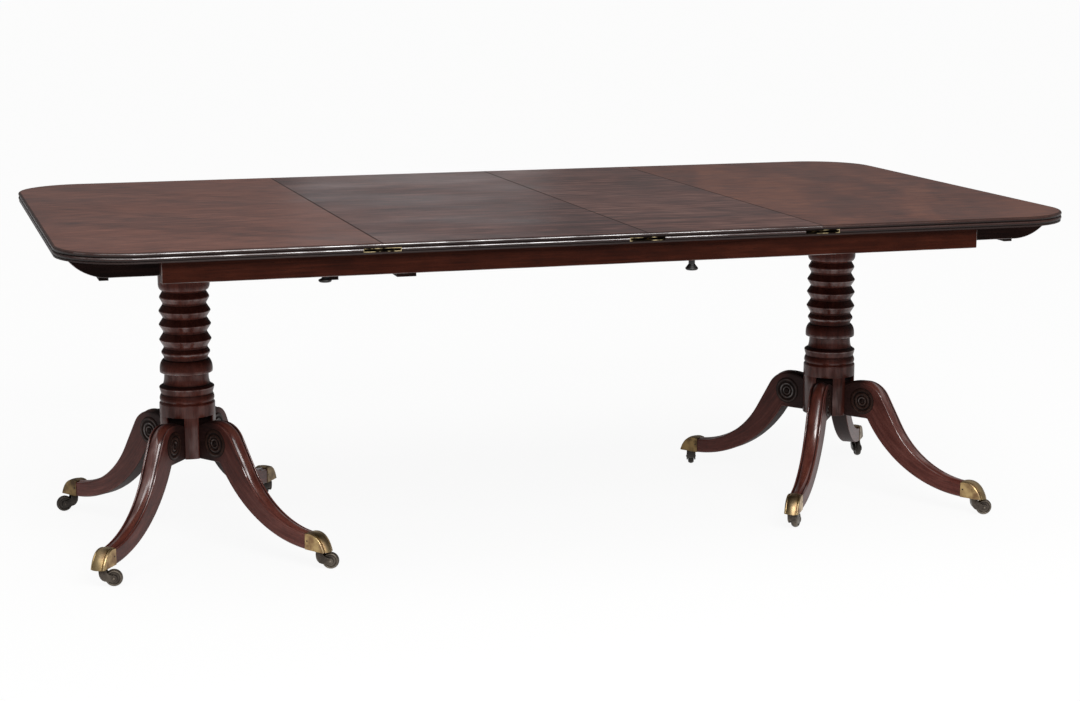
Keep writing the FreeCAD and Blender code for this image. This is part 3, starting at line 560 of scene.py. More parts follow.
# %% Columns in place
line = softened(shaft, 2.0)
for i in range(1, len(line) - 1):
    step = Vector(line[i + 1][:2]) - Vector(line[i - 1][:2])
    upper_flank_shade = max(0.0, -step.x / max(step.length, 1e-6))  # painted shade: each upper flank is darkened
    lower_flank_sheen = max(0.0, step.x / max(step.length, 1e-6))  # painted sheen: each lower flank is a little lighter and glossier
    ridge = line[i][2] if line[i][2] < 0 else 0.3 * line[i][2]
    # rub here is ridge wear, with painted shade on the upper flanks and a painted sheen on the lower ones
    rub = max(-1.0, ridge - 0.9 * upper_flank_shade + 0.2 * lower_flank_sheen)
    if line[i][1] < collar_top or neck_low < line[i][1] < neck_high:
        rub = 0.05  # the collar and the neck are plain
    line[i] = (*line[i][:2], rub)
shaft_mesh = turned(line, column_mahogany, 96)
for side, x in column_places.items():
    mesh = placed(together([shaft_mesh, hub]), 0, x)
    column = piece(side + "_column_turned", mesh, column_mahogany, side + "_section", "pedestal_mahogany",
                   side + "_column")
print("columns of", len(column.data.polygons), "faces")

# %% [markdown]
# ## The sabre legs
#
# A sabre leg is sawn from a thick plank and then worked along its whole top line: a broad reed between two quirks,
# with a fine bead on each arris. A sculpted block would lose those lines, so the leg is a loft: one section is
# carried along the crest and the sole together. The grain follows the leg, so the loft also writes an attribute,
# grain, with the distance along the leg, across it and up it, and the mahogany reads that.

# %% Leg line
knee, knee_radius = (101, 213), 58  # the crest turns over the knee in one arc
hip_centre, hip_radius = 155.96, 115.04  # and falls to the hub in a wider one, below the same point
toe, toe_top, toe_foot, root_end = 364, 71, 39.5, 116


def leg_crest():
    """Top line of a leg from the hub to just inside the cap."""
    line = [(x, hip_centre + math.sqrt(hip_radius ** 2 - (knee[0] - x) ** 2)) for x in (47, 53, 60, 68, 76, 84, 92)]
    line += arc(knee, knee_radius, 90, 30, 12)
    a, b = math.radians(60), math.radians(3)
    knee_x, knee_z = line[-1]
    run, drop = toe - knee_x, knee_z - toe_top
    across, down = math.sin(a) - math.sin(b), math.cos(b) - math.cos(a)
    divisor = across * math.sin(a) - down * math.cos(a)
    instep = (run * math.sin(a) - drop * math.cos(a)) / divisor
    shin = (drop * across - run * down) / divisor
    end = (knee_x + shin * math.cos(a), knee_z - shin * math.sin(a))
    centre = (end[0] + instep * math.sin(a), end[1] + instep * math.cos(a))
    line += [(knee_x + (end[0] - knee_x) * t, knee_z + (end[1] - knee_z) * t) for t in (0.25, 0.5, 0.75)]
    return line + arc(centre, instep, 210, 267, 26) + [(367, 70.9)]


def leg_sole():
    """Under line of a leg, as a dense line from the hub to just inside the cap."""
    root, sole = Vector((root_end, hub_foot)), Vector((toe, toe_foot))
    slope = math.radians(2)
    up = Vector((math.sin(slope), math.cos(slope)))
    chord = root - sole
    radius = chord.dot(chord) / (2 * chord.dot(up))
    centre = sole + up * radius
    spoke = root - centre
    start = 360 + math.degrees(math.atan2(spoke.y, spoke.x))
    return [(x, hub_foot) for x in range(47, root_end, 4)] + arc(centre, radius, start, 268, 60) + [(367, 39.4)]


def lengths(line):
    """Running length along a line."""
    total = [0.0]
    for a, b in zip(line, line[1:]):
        total.append(total[-1] + math.dist(a, b))
    return total


def along(line, totals, wanted):
    """Point at a running length."""
    for i in range(len(line) - 1):
        if wanted <= totals[i + 1] or i == len(line) - 2:
            t = (wanted - totals[i]) / (totals[i + 1] - totals[i])
            return Vector(line[i]).lerp(Vector(line[i + 1]), t)


crest, sole = leg_crest(), leg_sole()
crest_run, sole_run = lengths(crest), lengths(sole)
print("leg crest is", round(crest_run[-1]), "mm long, the sole", round(sole_run[-1]), "mm")

# %% Leg section
root_half, toe_half, taper_start = 19.0, 15.0, 135
reed_inset, reed_height, reed_sweep, reed_steps = 5.5, 4.0, 56, 9  # the reed is an arc of 56 degrees each way
# The worked top of the section, from the quirk outwards: distance in from the side, height, wear
worked_top = [(3.9, -0.2, -0.3), (3.3, 0.6, 0.4), (2.2, 0.95, 0.6), (1.0, 0.4, 0.4), (0.15, -1.2, 0.0),
              (0.0, -3.0, 0.0), (0.0, -5.0, 0.0)]


def half_width(x):
    """Half width of the blade: parallel at the root, then tapering to the toe."""
    past = max(0.0, x - taper_start)
    return root_half - (root_half - toe_half) * past / (toe - taper_start)


def half_section(x, tall):
    """Half of the section from the crest to the sole: kind, distance, height and wear of each point."""
    half = []
    reed = half_width(x) - reed_inset
    for i in range(reed_steps + 1):
        a = math.radians(reed_sweep * i / reed_steps)
        share = math.sin(a) / math.sin(math.radians(reed_sweep))
        fall = reed * (1 - math.cos(a)) / math.sin(math.radians(reed_sweep))
        half.append(("reed", share, reed_height - fall, 0.4 * (1 - share ** 3) - 0.8 * (i == reed_steps)))
    half.append(("side", 4.6, reed_height - 0.2 - fall, -0.9))
    half += [("side", inset, rise, rub) for inset, rise, rub in worked_top]
    # The last point, the sole's edge, is darkened: painted shade on the underside
    return half + [("side", 0.0, 4.0 - tall, 0.0), ("side", 0.0, 1.6 - tall, 0.1), ("side", 1.6, -tall, -0.8)]


def fading(x, full, gone):
    """One as far as full, then falling to zero at gone."""
    return max(0.0, min(1.0, (gone - x) / (gone - full)))


print("half a section has", len(half_section(toe, 30.0)), "points")

# %% Leg loft
def leg_mesh():
    """Closed loft of one leg along +X."""
    points, wear, grain = [], [], []
    for spot, run in zip(crest, crest_run):
        top = Vector(spot)
        low = along(sole, sole_run, sole_run[-1] * run / crest_run[-1])
        up = (top - low).normalized()
        tall = (top - low).length
        half = half_section(top.x, tall)
        section = [(*row, 1) for row in half] + [(*row, -1) for row in reversed(half[1:])]
        for kind, inset, rise, rub, flank in section:
            foot = top + up * rise
            width = half_width(foot.x)
            y = flank * (inset * (width - reed_inset) if kind == "reed" else width - inset)
            points.append((foot.x, y, foot.y))
            dirt = fading(foot.x, 92, 126)  # old wax and painted shade round the root, in the recess under the collar
            shade = 0.3 * fading(foot.x, 126, 290)  # and a weaker painted shade that fades out before the toe
            wear.append((rub if rub > 0.05 else rub - shade) * (1 - dirt) - 0.95 * dirt)
            grain += [(run + sole_run[-1] * run / crest_run[-1]) / 2 * MM, y * MM, (tall + rise) * MM]
    ring = len(section)
    rows = len(crest)
    faces = [range(ring), range((rows - 1) * ring, rows * ring)]
    for j in range(rows - 1):
        for i in range(ring):
            k = (i + 1) % ring
            faces.append([j * ring + i, j * ring + k, (j + 1) * ring + k, (j + 1) * ring + i])
    mesh = shell("leg", points, faces, wear)
    mesh.attributes.new("grain", "FLOAT_VECTOR", "POINT").data.foreach_set("vector", grain)
    return mesh


blade = leg_mesh()
print("leg loft of", len(blade.polygons), "faces")

# %% Legs in place
for side, x in column_places.items():
    for number, (quarter, angle) in enumerate(leg_angles[side].items()):
        key = side + "_" + quarter
        mesh = placed(blade, angle, x)
        for value in mesh.attributes["grain"].data:  # each leg from another place in the plank
            value.vector.x += 0.9 * number + (4.0 if side == "right" else 0.0)
        leg = piece(key + "_leg_shaped", mesh, leg_mahogany, side + "_section", "pedestal_mahogany", key + "_leg")
print("8 legs of", len(leg.data.polygons), "faces")

# %% [markdown]
# ## Roundels and cap screws
#
# Small turned ornaments sit on the legs: a roundel on each side of the root, and a screw in each side of the toe
# cap. They are one shape set many times, which is work for Instance on Points. The host is a cloud of places,
# each with an attribute, out, for the way it faces. Instances are realised, because only real meshes are exported.

# %% Tree that sets an ornament on places
setting, given, done = new_tree("setting", Places="Geometry", Ornament="Object", Finish="Material")
ornament = add(setting, "GeometryNodeObjectInfo", {"Object": given["Ornament"]}).outputs["Geometry"]
facing = add(setting, "GeometryNodeInputNamedAttribute", {"Name": "out"}, data_type="FLOAT_VECTOR").outputs[0]
aim = add(setting, "FunctionNodeAlignRotationToVector", {"Vector": facing}, axis="Z").outputs[0]
cloud = add(setting, "GeometryNodeInstanceOnPoints",
            {"Points": given["Places"], "Instance": ornament, "Rotation": aim}).outputs[0]
real = add(setting, "GeometryNodeRealizeInstances", {"Geometry": cloud}).outputs[0]
finished = add(setting, "GeometryNodeSetMaterial", {"Geometry": real, "Material": given["Finish"]})
setting.links.new(finished.outputs[0], done.inputs[0])
print("setting tree has", len(setting.nodes), "nodes")

# %% Setting helpers
def set_on(places, outs, ornament_mesh, finish):
    """Ornament set at each place in millimetres, facing its direction."""
    host = shell("places", places, [])
    directions = [value for out in outs for value in out]
    host.attributes.new("out", "FLOAT_VECTOR", "POINT").data.foreach_set("vector", directions)
    sample = bpy.data.objects.new("ornament", ornament_mesh)
    bpy.context.collection.objects.link(sample)
    mesh = made(host, setting, Ornament=sample, Finish=finish)
    bpy.data.objects.remove(sample)
    return mesh


def on_legs(side, reach, across, height):
    """Places on both flanks of all four legs of a section, with the way each faces."""
    places, outs = [], []
    for angle in leg_angles[side].values():
        turn = Matrix.Rotation(math.radians(angle), 3, "Z")
        for flank in (-1, 1):
            spot = turn @ Vector((reach, flank * across, height))
            places.append((spot.x + column_places[side], spot.y, spot.z))
            outs.append(tuple(turn @ Vector((0, flank, 0))))
    return places, outs


print("ornaments can be set on the legs")

# %% Roundels
roundel_line = [(0, 3.0), (2.5, 2.9), (4.4, 2.2), (5.2, 0.9), (6.0, 0.7), (7.0, 1.6), (8.8, 2.3), (10.6, 1.6),
                (11.6, 0.6), (12.8, 0.6), (14.2, 1.5), (16.6, 2.1), (19.0, 1.5), (20.2, 0.5), (21.6, 0.5),
                (23.4, 1.5), (26.2, 2.0), (29.0, 1.5), (30.6, 0.6), (31.0, -0.8), (0, -0.8)]
# Grooves and the eye darkened; the ring crests take the lighter rubbed colour as a painted highlight
roundel_wear_and_highlights = [-0.9, -0.8, -0.6, -1, -1, 0.0, 0.2, -0.1, -1, -1, 0.0, 0.2, -0.1, -1, -1, -0.2, 0.1, -0.3, -1, -1, -1]
roundel = turned([(r, z, w) for (r, z), w in zip(roundel_line, roundel_wear_and_highlights)], roundel_mahogany, 56)
for side in column_places:
    places, outs = on_legs(side, 102, root_half, 229)
    mesh = set_on(places, outs, roundel, roundel_mahogany)
    piece(side + "_leg_roundels", mesh, roundel_mahogany, side + "_section", "pedestal_mahogany")
print("set", len(places), "roundels on each pedestal")

# %% [markdown]
# ## The toe caps
#
# Each toe ends in a cast brass cap, like a small paw: a middle lobe between two flanks, with grooves that run over
# the nose to the floor side. A sculpted block would blur those grooves, so the cap is a sheet carried along its side
# outline, which rises a little over the toe and falls in a long round nose. At each step the sheet takes the same
# cross profile, and its front is drawn back at the sides.

# %% Profiles of a cap
cap_back, cap_foot, cap_half, cap_long = 360, 39.5, 16.0, 56
lobe, groove, flank, flank_half = 10.4, 11.8, 13.6, 2.4  # where the lobe and its groove end, and the flank's middle


def cap_profile(y):
    """Height of the cap's section above its base line, and its wear, at a distance from the middle."""
    a = abs(y)
    if a < lobe:
        return -0.9 * (a / lobe) ** 2, 0.3 - 0.025 * a
    if a < groove:
        return -2.0, -0.5
    b = (a - flank) / flank_half
    return -1.1 - 1.3 * b * b, 0.3 * (1 - b * b)


across = [-16.0, -15.6, -15.0, -14.3, -13.6, -12.9, -12.2, -11.6, -11.1, -10.6, -10.3, -9.4, -7.8, -5.8, -3.6, -1.6]
across += [0.0] + [-y for y in reversed(across)]
nose_line = [(360, 75.2), (364, 76.0), (369, 76.6), (375, 76.6), (381, 75.8), (387, 74.0), (393, 71.0), (399, 66.6),
             (404, 61.6), (408.5, 55.6), (412, 49.6), (414.4, 44.2), (415.6, 41.2), (416.2, 39.5)]
print("cap of", len(nose_line), "steps with", len(across), "points each")

# %% Cap shape
def cap_mesh():
    """Closed cap along +X."""
    points, wear = [], []
    for i, (x, z) in enumerate(nose_line):
        a = nose_line[max(0, i - 1)]
        b = nose_line[min(len(nose_line) - 1, i + 1)]
        normal = Vector((a[1] - b[1], b[0] - a[0])).normalized()
        if normal.y < 0:
            normal = -normal
        if i == len(nose_line) - 1:
            normal = Vector((1, 0))
        for y in across:
            rise, rub = cap_profile(y)
            px, pz = x + normal.x * rise, z + normal.y * rise
            px -= 5.0 * (y / cap_half) ** 2 * ((x - cap_back) / cap_long) ** 2  # drawn back at the sides
            points.append((px, y, max(cap_foot, pz)))
            wear.append(rub)
    wide, rows = len(across), len(nose_line)
    faces = []
    for j in range(rows - 1):
        for i in range(wide - 1):
            faces.append([j * wide + i, j * wide + i + 1, (j + 1) * wide + i + 1, (j + 1) * wide + i])
    base = len(points)
    points += [(cap_back, -cap_half, cap_foot), (cap_back, cap_half, cap_foot)]
    wear += [0.0, 0.0]
    faces.append([j * wide for j in range(rows)] + [base])
    faces.append([j * wide + wide - 1 for j in range(rows)] + [base + 1])
    faces.append(list(range(wide)) + [base + 1, base])
    faces.append(list(range((rows - 1) * wide, rows * wide)) + [base + 1, base])
    return shell("cap", points, faces, wear)


toe_cap = cap_mesh()
print("cap of", len(toe_cap.polygons), "faces")

# %% Caps and their screws in place
for side, x in column_places.items():
    for quarter, angle in leg_angles[side].items():
        key = side + "_" + quarter
        # The back caps take the darker brass, as painted shade
        finish = back_cap_brass_painted_shade if quarter.startswith("back") else cap_brass
        piece(key + "_cap_cast", placed(toe_cap, angle, x), finish, side + "_section", "brass", key + "_cap",
              crease=50, flat=0.0004)
screw_line = [(0, 0.4), (1.2, 0.35), (1.9, 0.1), (2.0, -1.0), (0, -1.0)]
screw = turned([(r, z, -0.9) for r, z in screw_line], castor_bronze, 16)
for side in column_places:
    places, outs = on_legs(side, 366, cap_half, 58)
    piece(side + "_cap_screws", set_on(places, outs, screw, castor_bronze), castor_bronze, side + "_section",
          "castor_bronze")
print("cast 8 caps, with", len(places), "screws on each pedestal")

# %% [markdown]
# ## Castors
#
# Under each cap a horn swivels on its pin and trails a solid wheel. The horn is a casting with two arms that sweep
# back to the axle. A bent strip would be too thin for it, so its outline is drawn once and given thickness, with
# eased arrises. The plate, the rivets at the axle's ends and the wheel are turned. Each castor stands at its own
# heading, as the table last rolled.

# %% Horn
trail, axle_height, pin_reach = 22, 18, 388  # axle from its pin and from the floor, and pin from the column
arm_line = [(-7.8, 35.6), (-7.6, 29), (-6.6, 23.5), (-4.2, 18.6), (-0.4, 14.6), (5, 12.4), (12, 11.7)]
arm_line += arc((trail, axle_height), 6.4, -90, 90, 12)
arm_line += [(17, 24.9), (13, 26.8), (9.6, 29.8), (7.8, 32.8), (7.0, 35.6)]
arms = [eased(prism(arm_line, low, low + 3.0), 0.6) for low in (-10.9, 7.9)]
post_line = [(-7.6, 35.6), (-7.2, 28), (-5.6, 22), (-2.4, 18.2), (0.6, 17.6), (1.9, 24), (2.3, 35.6)]
post = eased(prism(post_line, -8.4, 8.4), 0.5)
plate_line = [(0, 35.4), (9.6, 35.4), (11, 36.4), (11, 38.2), (10, 39.2), (4, 39.2), (4, 45), (0, 45)]
plate = turned(softened(plate_line, 0.5), castor_bronze, 40)
rivet_line = [(0, 1.4, 0.8), (1.3, 1.2, 0.7), (2.4, 0.7, 0.4), (3.0, 0.0, -0.6), (3.0, -1.0, 0.0), (0, -1.0, 0.0)]
rivets = set_on([(trail, side * 10.9, axle_height) for side in (-1, 1)], [(0, -1, 0), (0, 1, 0)],
                turned(rivet_line, castor_bronze, 24), castor_bronze)
horn = together(arms + [post, plate, rivets])
print("castor horn of", len(horn.polygons), "faces")

# %% Wheel
wheel_line = [(0, -7.6), (5.4, -7.6), (6, -7.0), (6.6, -5.6), (12.4, -5.4), (13.2, -6.8), (14.6, -7.0)]
wheel_line += bow((15.4, -6.7), (18.0, 0), (15.4, 6.7), 12)
wheel_line += [(14.6, 7.0), (13.2, 6.8), (12.4, 5.4), (6.6, 5.6), (6, 7.0), (5.4, 7.6), (0, 7.6)]
disc = turned(softened(wheel_line, 0.6), castor_bronze, 48)
disc.transform(Matrix.Translation((trail * MM, 0, axle_height * MM)) @ Matrix.Rotation(math.radians(90), 4, "X"))
print("wheel of", len(disc.polygons), "faces")

# %% Castors in place
headings = {"left_front_outer": -12, "left_front_inner": -20, "left_back_outer": 188, "left_back_inner": 95,
            "right_back_inner": 70, "right_front_inner": 50, "right_front_outer": -15, "right_back_outer": 258}
for side, x in column_places.items():
    for quarter, angle in leg_angles[side].items():
        key = side + "_" + quarter
        px = x + pin_reach * math.cos(math.radians(angle))
        py = pin_reach * math.sin(math.radians(angle))
        # The back castors take the darker bronze, as painted shade
        finish = back_castor_bronze_painted_shade if quarter.startswith("back") else castor_bronze
        piece(key + "_castor_horn", placed(horn, headings[key], px, py), finish, key + "_castor", "castor_bronze",
              key + "_castor")
        piece(key + "_wheel_turned", placed(disc, headings[key], px, py), finish, key + "_wheel", "castor_bronze",
              key + "_wheel")
print("placed 8 castors with their wheels")

# %% [markdown]
# ## The boards of the top
#
# The four boards share one moulded edge: two beads parted by fine quirks over a square fillet. On an end board it
# runs round three sides and two rounded corners, so the board is a shell: the moulding's section is carried along
# the rim, and the top, the underside and the joint face close it. A leaf only has the moulding along its front and
# back. A bevel with a custom profile could not make the quirks, which go back under the beads. The pockets for the
# brass sockets are cut afterwards with a Boolean, so they stay crisp, and the wear of the edge is written last.

# %% Edge moulding
joints = (-456.0, 80.0, 456.0)
board_half, joint_gap = 610.0, 0.2


def bead(height, start, stop):
    """One bead of the edge as (outward, height, wear)."""
    steps = arc((-4.5, height), 4.5, start, stop, 12)
    # The band of wear is centred 22 degrees up the bead, where the softbox's reflection falls, so its gloss and
    # lighter colour are partly a painted highlight; the rest of the bead is darkened
    rubbed_and_highlight = [max(0.0, math.cos(math.radians(start + (stop - start) * i / 12 - 22))) for i in range(13)]
    return [(x, z, 1.6 * rub ** 14 - 0.85) for (x, z), rub in zip(steps, rubbed_and_highlight)]


moulding = bead(712.5, 90, -57) + [(-4.0, 708.25, -1.0)] + bead(704.0, 57, -57)
moulding += [(-4.0, 699.75, -1.0), (-1.6, 699.3, -0.7), (-1.5, 698.9, -0.6), (-1.5, 696.3, -0.7), (-1.8, 696.0, -0.8)]
print("edge moulding of", len(moulding), "points")

# %% Blank of an end board
def end_blank():
    """Left end board as a closed shell."""
    x0, x1, y, r = -1062.0, joints[0] - joint_gap, board_half, 150.0
    rim = [((x1, -y), (0, -1))]
    for centre, start in (((x0 + r, -y + r), 270), ((x0 + r, y - r), 180)):
        for i in range(29):
            a = math.radians(start - 90 * i / 28)
            out = (math.cos(a), math.sin(a))
            rim.append(((centre[0] + r * out[0], centre[1] + r * out[1]), out))
    rim.append(((x1, y), (0, 1)))
    wide = len(moulding)
    points = [(p[0] + n[0] * x, p[1] + n[1] * x, z) for p, n in rim for x, z, _ in moulding]
    wear = [w if abs(n[1]) > 0.6 else min(w, -0.4) for _, n in rim for _, _, w in moulding]  # the rounded ends are darker and have no gloss
    last = (len(rim) - 1) * wide
    faces = [[j * wide for j in range(len(rim))], [j * wide + wide - 1 for j in range(len(rim))]]
    faces.append(list(range(wide)) + [last + i for i in reversed(range(wide))])
    for j in range(len(rim) - 1):
        for i in range(wide - 1):
            faces.append([j * wide + i, j * wide + i + 1, (j + 1) * wide + i + 1, (j + 1) * wide + i])
    return shell("end_blank", points, faces, wear)


end_board = end_blank()
print("end board of", len(end_board.polygons), "faces")

# %% Blank of a leaf
def leaf_blank(start, stop):
    """Loose leaf between two joints as a closed shell."""
    front = [(-board_half - x, z, w) for x, z, w in moulding]
    section = front + [(-y, z, w) for y, z, w in reversed(front)]
    size = len(section)
    points = [(x, y, z) for x in (start + joint_gap, stop - joint_gap) for y, z, _ in section]
    faces = [[i, (i + 1) % size, size + (i + 1) % size, size + i] for i in range(size)]
    wear = [w for _ in range(2) for _, _, w in section]
    return shell("leaf_blank", points, faces + [range(size), range(size, 2 * size)], wear)


leaf_boards = [leaf_blank(*ends) for ends in zip(joints, joints[1:])]
print("leaves of", [len(leaf.polygons) for leaf in leaf_boards], "faces")

# %% Rubbed joints
def joint_eased(mesh):
    """Board with the top arris of its joints rubbed off by 1.2 mm and darkened, as on an old joint."""
    work = bmesh.new()
    work.from_mesh(mesh)
    bmesh.ops.recalc_face_normals(work, faces=work.faces)
    high = max(v.co.z for v in work.verts) - 1e-5
    long_edges = [e for e in work.edges if all(v.co.z > high for v in e.verts) and e.calc_length() > 1.0
                  and abs(e.verts[0].co.x - e.verts[1].co.x) < 1e-5 and abs(e.verts[0].co.x) < 0.5]
    rounded = bmesh.ops.bevel(work, geom=long_edges, offset=1.2 * MM, segments=2, affect="EDGES", profile=0.5)
    layer = work.verts.layers.float["wear"]
    for face in rounded["faces"]:
        for vert in face.verts:
            vert[layer] = -1.0
    top = max(work.faces, key=lambda face: face.calc_area() * face.normal.z)
    bmesh.ops.inset_region(work, faces=[top], thickness=1.5 * MM, use_even_offset=True)
    for vert in top.verts:
        vert[layer] = 0.0  # the wear of the rim must not spread over the whole board
    work.to_mesh(mesh)
    work.free()
    return mesh


left_blank = joint_eased(end_board)
right_blank = placed(left_blank, 180, 0)
for value in right_blank.attributes["wear"].data:
    value.value = min(value.value, 0.1)  # the right end is pushed to the wall and less often dusted
print("end board with its joint of", len(left_blank.polygons), "faces")

# %% Cutters
knob_places = {"knob_end": -562.0, "knob_leaf": 186.0}
rail_middle = 576.0
pocket_long, pocket_back, pocket_low, pocket_high = 37.25, 576.75, 700.25, 707.75


def block(low, high):
    """Box between two corners in millimetres."""
    points = [(x, y, z) for x in (low[0], high[0]) for y in (low[1], high[1]) for z in (low[2], high[2])]
    faces = [(0, 1, 3, 2), (4, 6, 7, 5), (0, 4, 5, 1), (2, 3, 7, 6), (0, 2, 6, 4), (1, 5, 7, 3)]
    return shell("block", points, faces)


def rod(x, y, low, high, radius):
    """Upright rod as a cutter."""
    ring = arc((x, y), radius, 0, 345, 23)
    points = [(px, py, z) for z in (low, high) for px, py in ring]
    faces = [[i, (i + 1) % 24, 24 + (i + 1) % 24, 24 + i] for i in range(24)]
    return shell("rod", points, faces + [range(24), range(24, 48)])


def clip_pockets(ends):
    """Pockets for the brass sockets: each end is a joint and the way from it into the board."""
    boxes = []
    for joint, toward in ends:
        near, far = sorted((joint - toward * 2.0, joint + toward * pocket_long))
        for side in (-1, 1):
            deep, out = sorted((side * pocket_back, side * (board_half + 4)))
            boxes.append(block((near, deep, pocket_low), (far, out, pocket_high)))
    return boxes


print("cutters ready for", 4 * len(joints), "pockets and", 2 * len(knob_places), "bores")

# %% Boards in place
def edge_worn(mesh, most):
    """Wear written again along the front and back, because a Boolean's new points have none, and the edges darkened.
    """
    edge_darkening_values = mesh.attributes.new("stain", "FLOAT", "POINT").data
    for vert, wear, stain in zip(mesh.vertices, mesh.attributes["wear"].data, edge_darkening_values):
        out, z = abs(vert.co.y) / MM - board_half, vert.co.z / MM
        gap, rub = min((math.dist((out, z), row[:2]), row[2]) for row in moulding)
        if gap < 0.6:
            wear.value = min(rub, most)
        stain.value = max(0.0, min(0.9, 0.6 * (716.8 - z)))  # from just under the top
    return mesh


boards = {
    "left_top": (left_blank, ((joints[0], -1),), left_top_mahogany, "left_section", "end_top_mahogany"),
    "wide_leaf": (joint_eased(leaf_boards[0]), ((joints[0], 1), (joints[1], -1)), leaf_mahogany, "wide_leaf",
                  "leaf_mahogany"),
    "narrow_leaf": (joint_eased(leaf_boards[1]), ((joints[1], 1), (joints[2], -1)), narrow_mahogany, "narrow_leaf",
                    "leaf_mahogany"),
    "right_top": (right_blank, ((joints[2], 1),), right_top_mahogany, "right_section", "end_top_mahogany"),
}
for name, (blank, ends, finish, body, slot) in boards.items():
    cutters = clip_pockets(ends)
    bored = {"left_top": "knob_end", "narrow_leaf": "knob_leaf"}.get(name)
    if bored:
        cutters += [rod(knob_places[bored], side * rail_middle, 690.0, 706.5, 4.5) for side in (-1, 1)]
    most = max(value.value for value in blank.attributes["wear"].data)
    mesh = edge_worn(cut(blank, cutters), most)
    board = piece(name + "_moulded", mesh, finish, body, slot, name, crease=28, flat=0.002)
    print(name, "has", len(board.data.polygons), "faces")

# %% [markdown]
# ## Rails and bearers
#
# Under the leaves run two long rails, and under each end board two bearers whose outer ends sweep up to nothing.
# A scaled cube would miss the sweep and the soft edges that a plane leaves. They are sawn bars, so each is an outline
# with thickness and eased arrises. The left bearers are notched over a cross batten, and the rails are bored for the
# knobs.

# %% Rails
rail_foot, rail_head = 653.8, 695.8
for side, name in ((-1, "front"), (1, "back")):
    low, high = sorted((side * (rail_middle - 14), side * (rail_middle + 14)))
    bar = prism([(-874, rail_foot), (814, rail_foot), (814, rail_head), (-874, rail_head)], low, high)
    bores = [rod(x, side * rail_middle, 650.0, 700.0, 4.08) for x in knob_places.values()]
    rail = cut(eased(bar, 1.6, 3), bores)
    piece("rail_" + name + "_planed", rail, rail_mahogany, "left_section", "rail_mahogany", "rail_" + name)
print("made 2 rails of", len(rail.polygons), "faces")

# %% Bearers
bearer_foot, notch_top, bearer_head = 654, 675, 696
sweep = arc((-959.54, 754.0), 100.0, 270 - 54.55, 270, 14)
inner_end = [(-459, bearer_foot), (-459, bearer_head)]
notched = sweep + [(-551, bearer_foot), (-551, notch_top), (-533, notch_top), (-533, bearer_foot)] + inner_end
plain = [(-x, z) for x, z in sweep + inner_end]
for section, line in (("left", notched), ("right", plain)):
    for side, name in ((-1, "front"), (1, "back")):
        low, high = sorted((side * 445.0, side * 485.0))
        bearer = eased(prism(line, low, high), 1.4)
        piece("_".join((section, "bearer", name, "swept")), bearer, frame_mahogany_painted_shade, section + "_section",
              "bearer_mahogany", "_".join((section, "bearer", name)))
print("made 4 bearers")

# %% [markdown]
# ## Screw knobs
#
# Black turned knobs hang under the rails and clamp them. They are mushrooms on a flared neck, so the lathe makes
# them as well. The two under the narrow leaf hang a little lower than the two under the left end board.

# %% Knobs
def knob_line(drop):
    """Outline of a knob that hangs a given drop below its rail."""
    foot, shoulder = rail_foot - drop, rail_foot - 0.2
    brim = foot + 4.0
    neck = brim + (shoulder - brim) / 2
    line = [(0, foot), (5, foot), (9, foot)] + arc((9, brim), 4.0, -75, 0, 5)
    return line + [(12.2, brim + 1.2), (6.6, neck), (6.5, shoulder), (4, shoulder), (4, 706), (0, 706)]


for knob, x in knob_places.items():
    shape = turned(softened(knob_line(12 if knob == "knob_end" else 21), 0.8), ebonised_wood, 40)
    for side, name in ((-1, "front"), (1, "back")):
        body = knob + "_" + name
        piece(body + "_turned", placed(shape, 0, x, side * rail_middle), ebonised_wood, body, "ebonised_wood", body)
print("made 4 knobs")

# %% [markdown]
# ## Pieces that stay as they are
#
# The battens, the pillar blocks, the leaf's locating blocks and the brass clip sockets already have their true
# shape in the frame, so they stay and only get a finish. Grain runs along each piece, so the cross battens take a
# mahogany with its grain across the table.

# %% Finishes for the kept nodes
# The frame finish is near black as painted shade
kept = {"left_pillar_block": frame_mahogany_painted_shade, "right_pillar_block": frame_mahogany_painted_shade, "wide_leaf_blocks": frame_mahogany_painted_shade}
for section in column_places:
    for name in ("inner", "outer"):
        kept["_".join((section, "batten", name))] = cross_mahogany_painted_shade
for name in boards:
    kept[name + "_clip_sockets"] = socket_brass
for name, finish in kept.items():
    nodes[name].data.materials.clear()
    nodes[name].data.materials.append(finish)
print("finished", len(kept), "kept nodes")

# %% [markdown]
# ## Floor, light and camera
#
# The floor is a plain pale sheet. A curved backdrop would only serve one side, so the sheet is simply very large. Seen
# directly or in a reflection it is nearly white by itself, with a little of its lit colour left in so that it keeps
# the table's shadow. The light is one large softbox above the front, which draws the bright lines on the reeds and
# beads, a very soft sun for a ceiling, and a weak lamp far behind that lays a sheen on the leaves. The sky is brighter
# above than at the horizon: the polished top mirrors the far horizon, and a bright one would drown its colour.

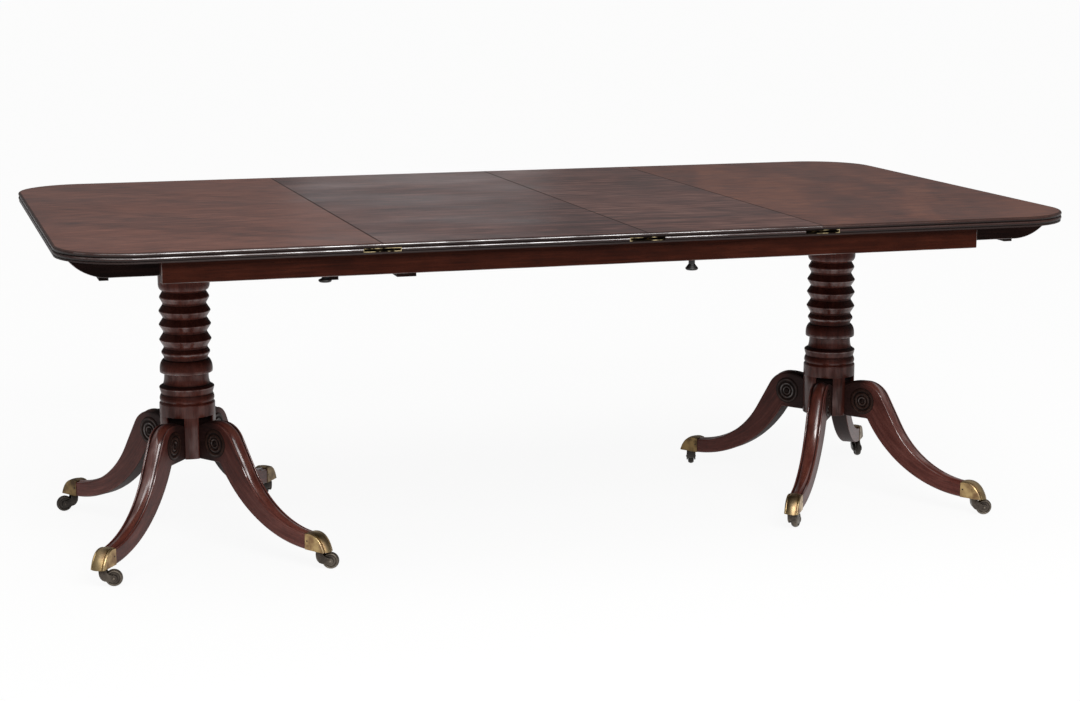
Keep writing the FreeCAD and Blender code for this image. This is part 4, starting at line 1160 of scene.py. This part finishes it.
# %% Floor
floor_paint, tree, out = blank_material("pale_floor")
path = add(tree, "ShaderNodeLightPath").outputs
seen = add(tree, "ShaderNodeMath", {0: path["Is Camera Ray"], 1: path["Is Glossy Ray"]}, operation="MAXIMUM")
seen = add(tree, "ShaderNodeMath", {0: seen.outputs[0], 1: path["Is Transmission Ray"]}, operation="MAXIMUM")
seen = add(tree, "ShaderNodeMath", {0: seen.outputs[0], 1: 0.92}, operation="MULTIPLY").outputs[0]
paint = add(tree, "ShaderNodeBsdfDiffuse", {"Color": linear("#f6f6f4")}).outputs[0]
glow = add(tree, "ShaderNodeEmission", {"Color": (1, 1, 1, 1), "Strength": 1.0}).outputs[0]
sheet = add(tree, "ShaderNodeMixShader", {0: seen, 1: paint, 2: glow})
tree.links.new(sheet.outputs[0], out.inputs["Surface"])
floor_mesh = shell("floor", [(-90e3, -90e3, 0), (90e3, -90e3, 0), (90e3, 90e3, 0), (-90e3, 90e3, 0)], [(0, 1, 2, 3)])
floor_mesh.materials.append(floor_paint)
floor = bpy.data.objects.new("floor", floor_mesh)
bpy.context.collection.objects.link(floor)
print("floor laid")

# %% Sky and lamps
world = bpy.data.worlds.new("studio")
bpy.context.scene.world = world
world.use_nodes = True
tree = world.node_tree
tree.nodes.clear()
height = add(tree, "ShaderNodeSeparateXYZ", {0: add(tree, "ShaderNodeTexCoord").outputs["Generated"]}).outputs["Z"]
rise = add(tree, "ShaderNodeMapRange", {"Value": height, "From Min": 0.02, "From Max": 0.7}).outputs[0]
sky = add(tree, "ShaderNodeMix", {0: rise, 6: linear("#5c5a5c"), 7: linear("#b4b4b4")}, data_type="RGBA").outputs[2]
back = add(tree, "ShaderNodeBackground", {"Color": sky, "Strength": 1.0})
tree.links.new(back.outputs[0], add(tree, "ShaderNodeOutputWorld").inputs["Surface"])


def lamp(name, place, aim, size, power):
    """Soft rectangular lamp that looks at a point; places in metres."""
    light = bpy.data.lights.new(name, "AREA")
    light.shape = "RECTANGLE"
    light.size, light.size_y = size
    light.energy = power
    thing = bpy.data.objects.new(name, light)
    thing.location = place
    thing.visible_camera = False
    thing.rotation_euler = (Vector(aim) - Vector(place)).to_track_quat("-Z", "Y").to_euler()
    bpy.context.collection.objects.link(thing)


lamp("softbox", (0.2, -3.6, 2.8), (-0.1, 0.0, 0.4), (2.9, 1.5), 120)
lamp("sheen", (0.95, 4.8, 1.08), (0.0, 0.0, 0.7), (1.1, 0.25), 1.4)
ceiling = bpy.data.lights.new("ceiling", "SUN")
ceiling.energy = 1.0
ceiling.angle = math.radians(50)
above = bpy.data.objects.new("ceiling", ceiling)
above.rotation_euler = (math.radians(18), math.radians(-10), 0.0)
bpy.context.collection.objects.link(above)
print("lamps hung")

# %% Camera
lens = bpy.data.cameras.new("camera")
lens.lens = 73.69
lens.sensor_width = 36.0
lens.sensor_fit = "HORIZONTAL"
camera = bpy.data.objects.new("camera", lens)
camera.location = (-1.3838, -4.6944, 1.2901)
camera.rotation_euler = [math.radians(a) for a in (79.41, 0.0, -16.90)]
bpy.context.collection.objects.link(camera)
bpy.context.scene.camera = camera
bpy.context.scene.view_settings.view_transform = "Standard"
print("camera set")
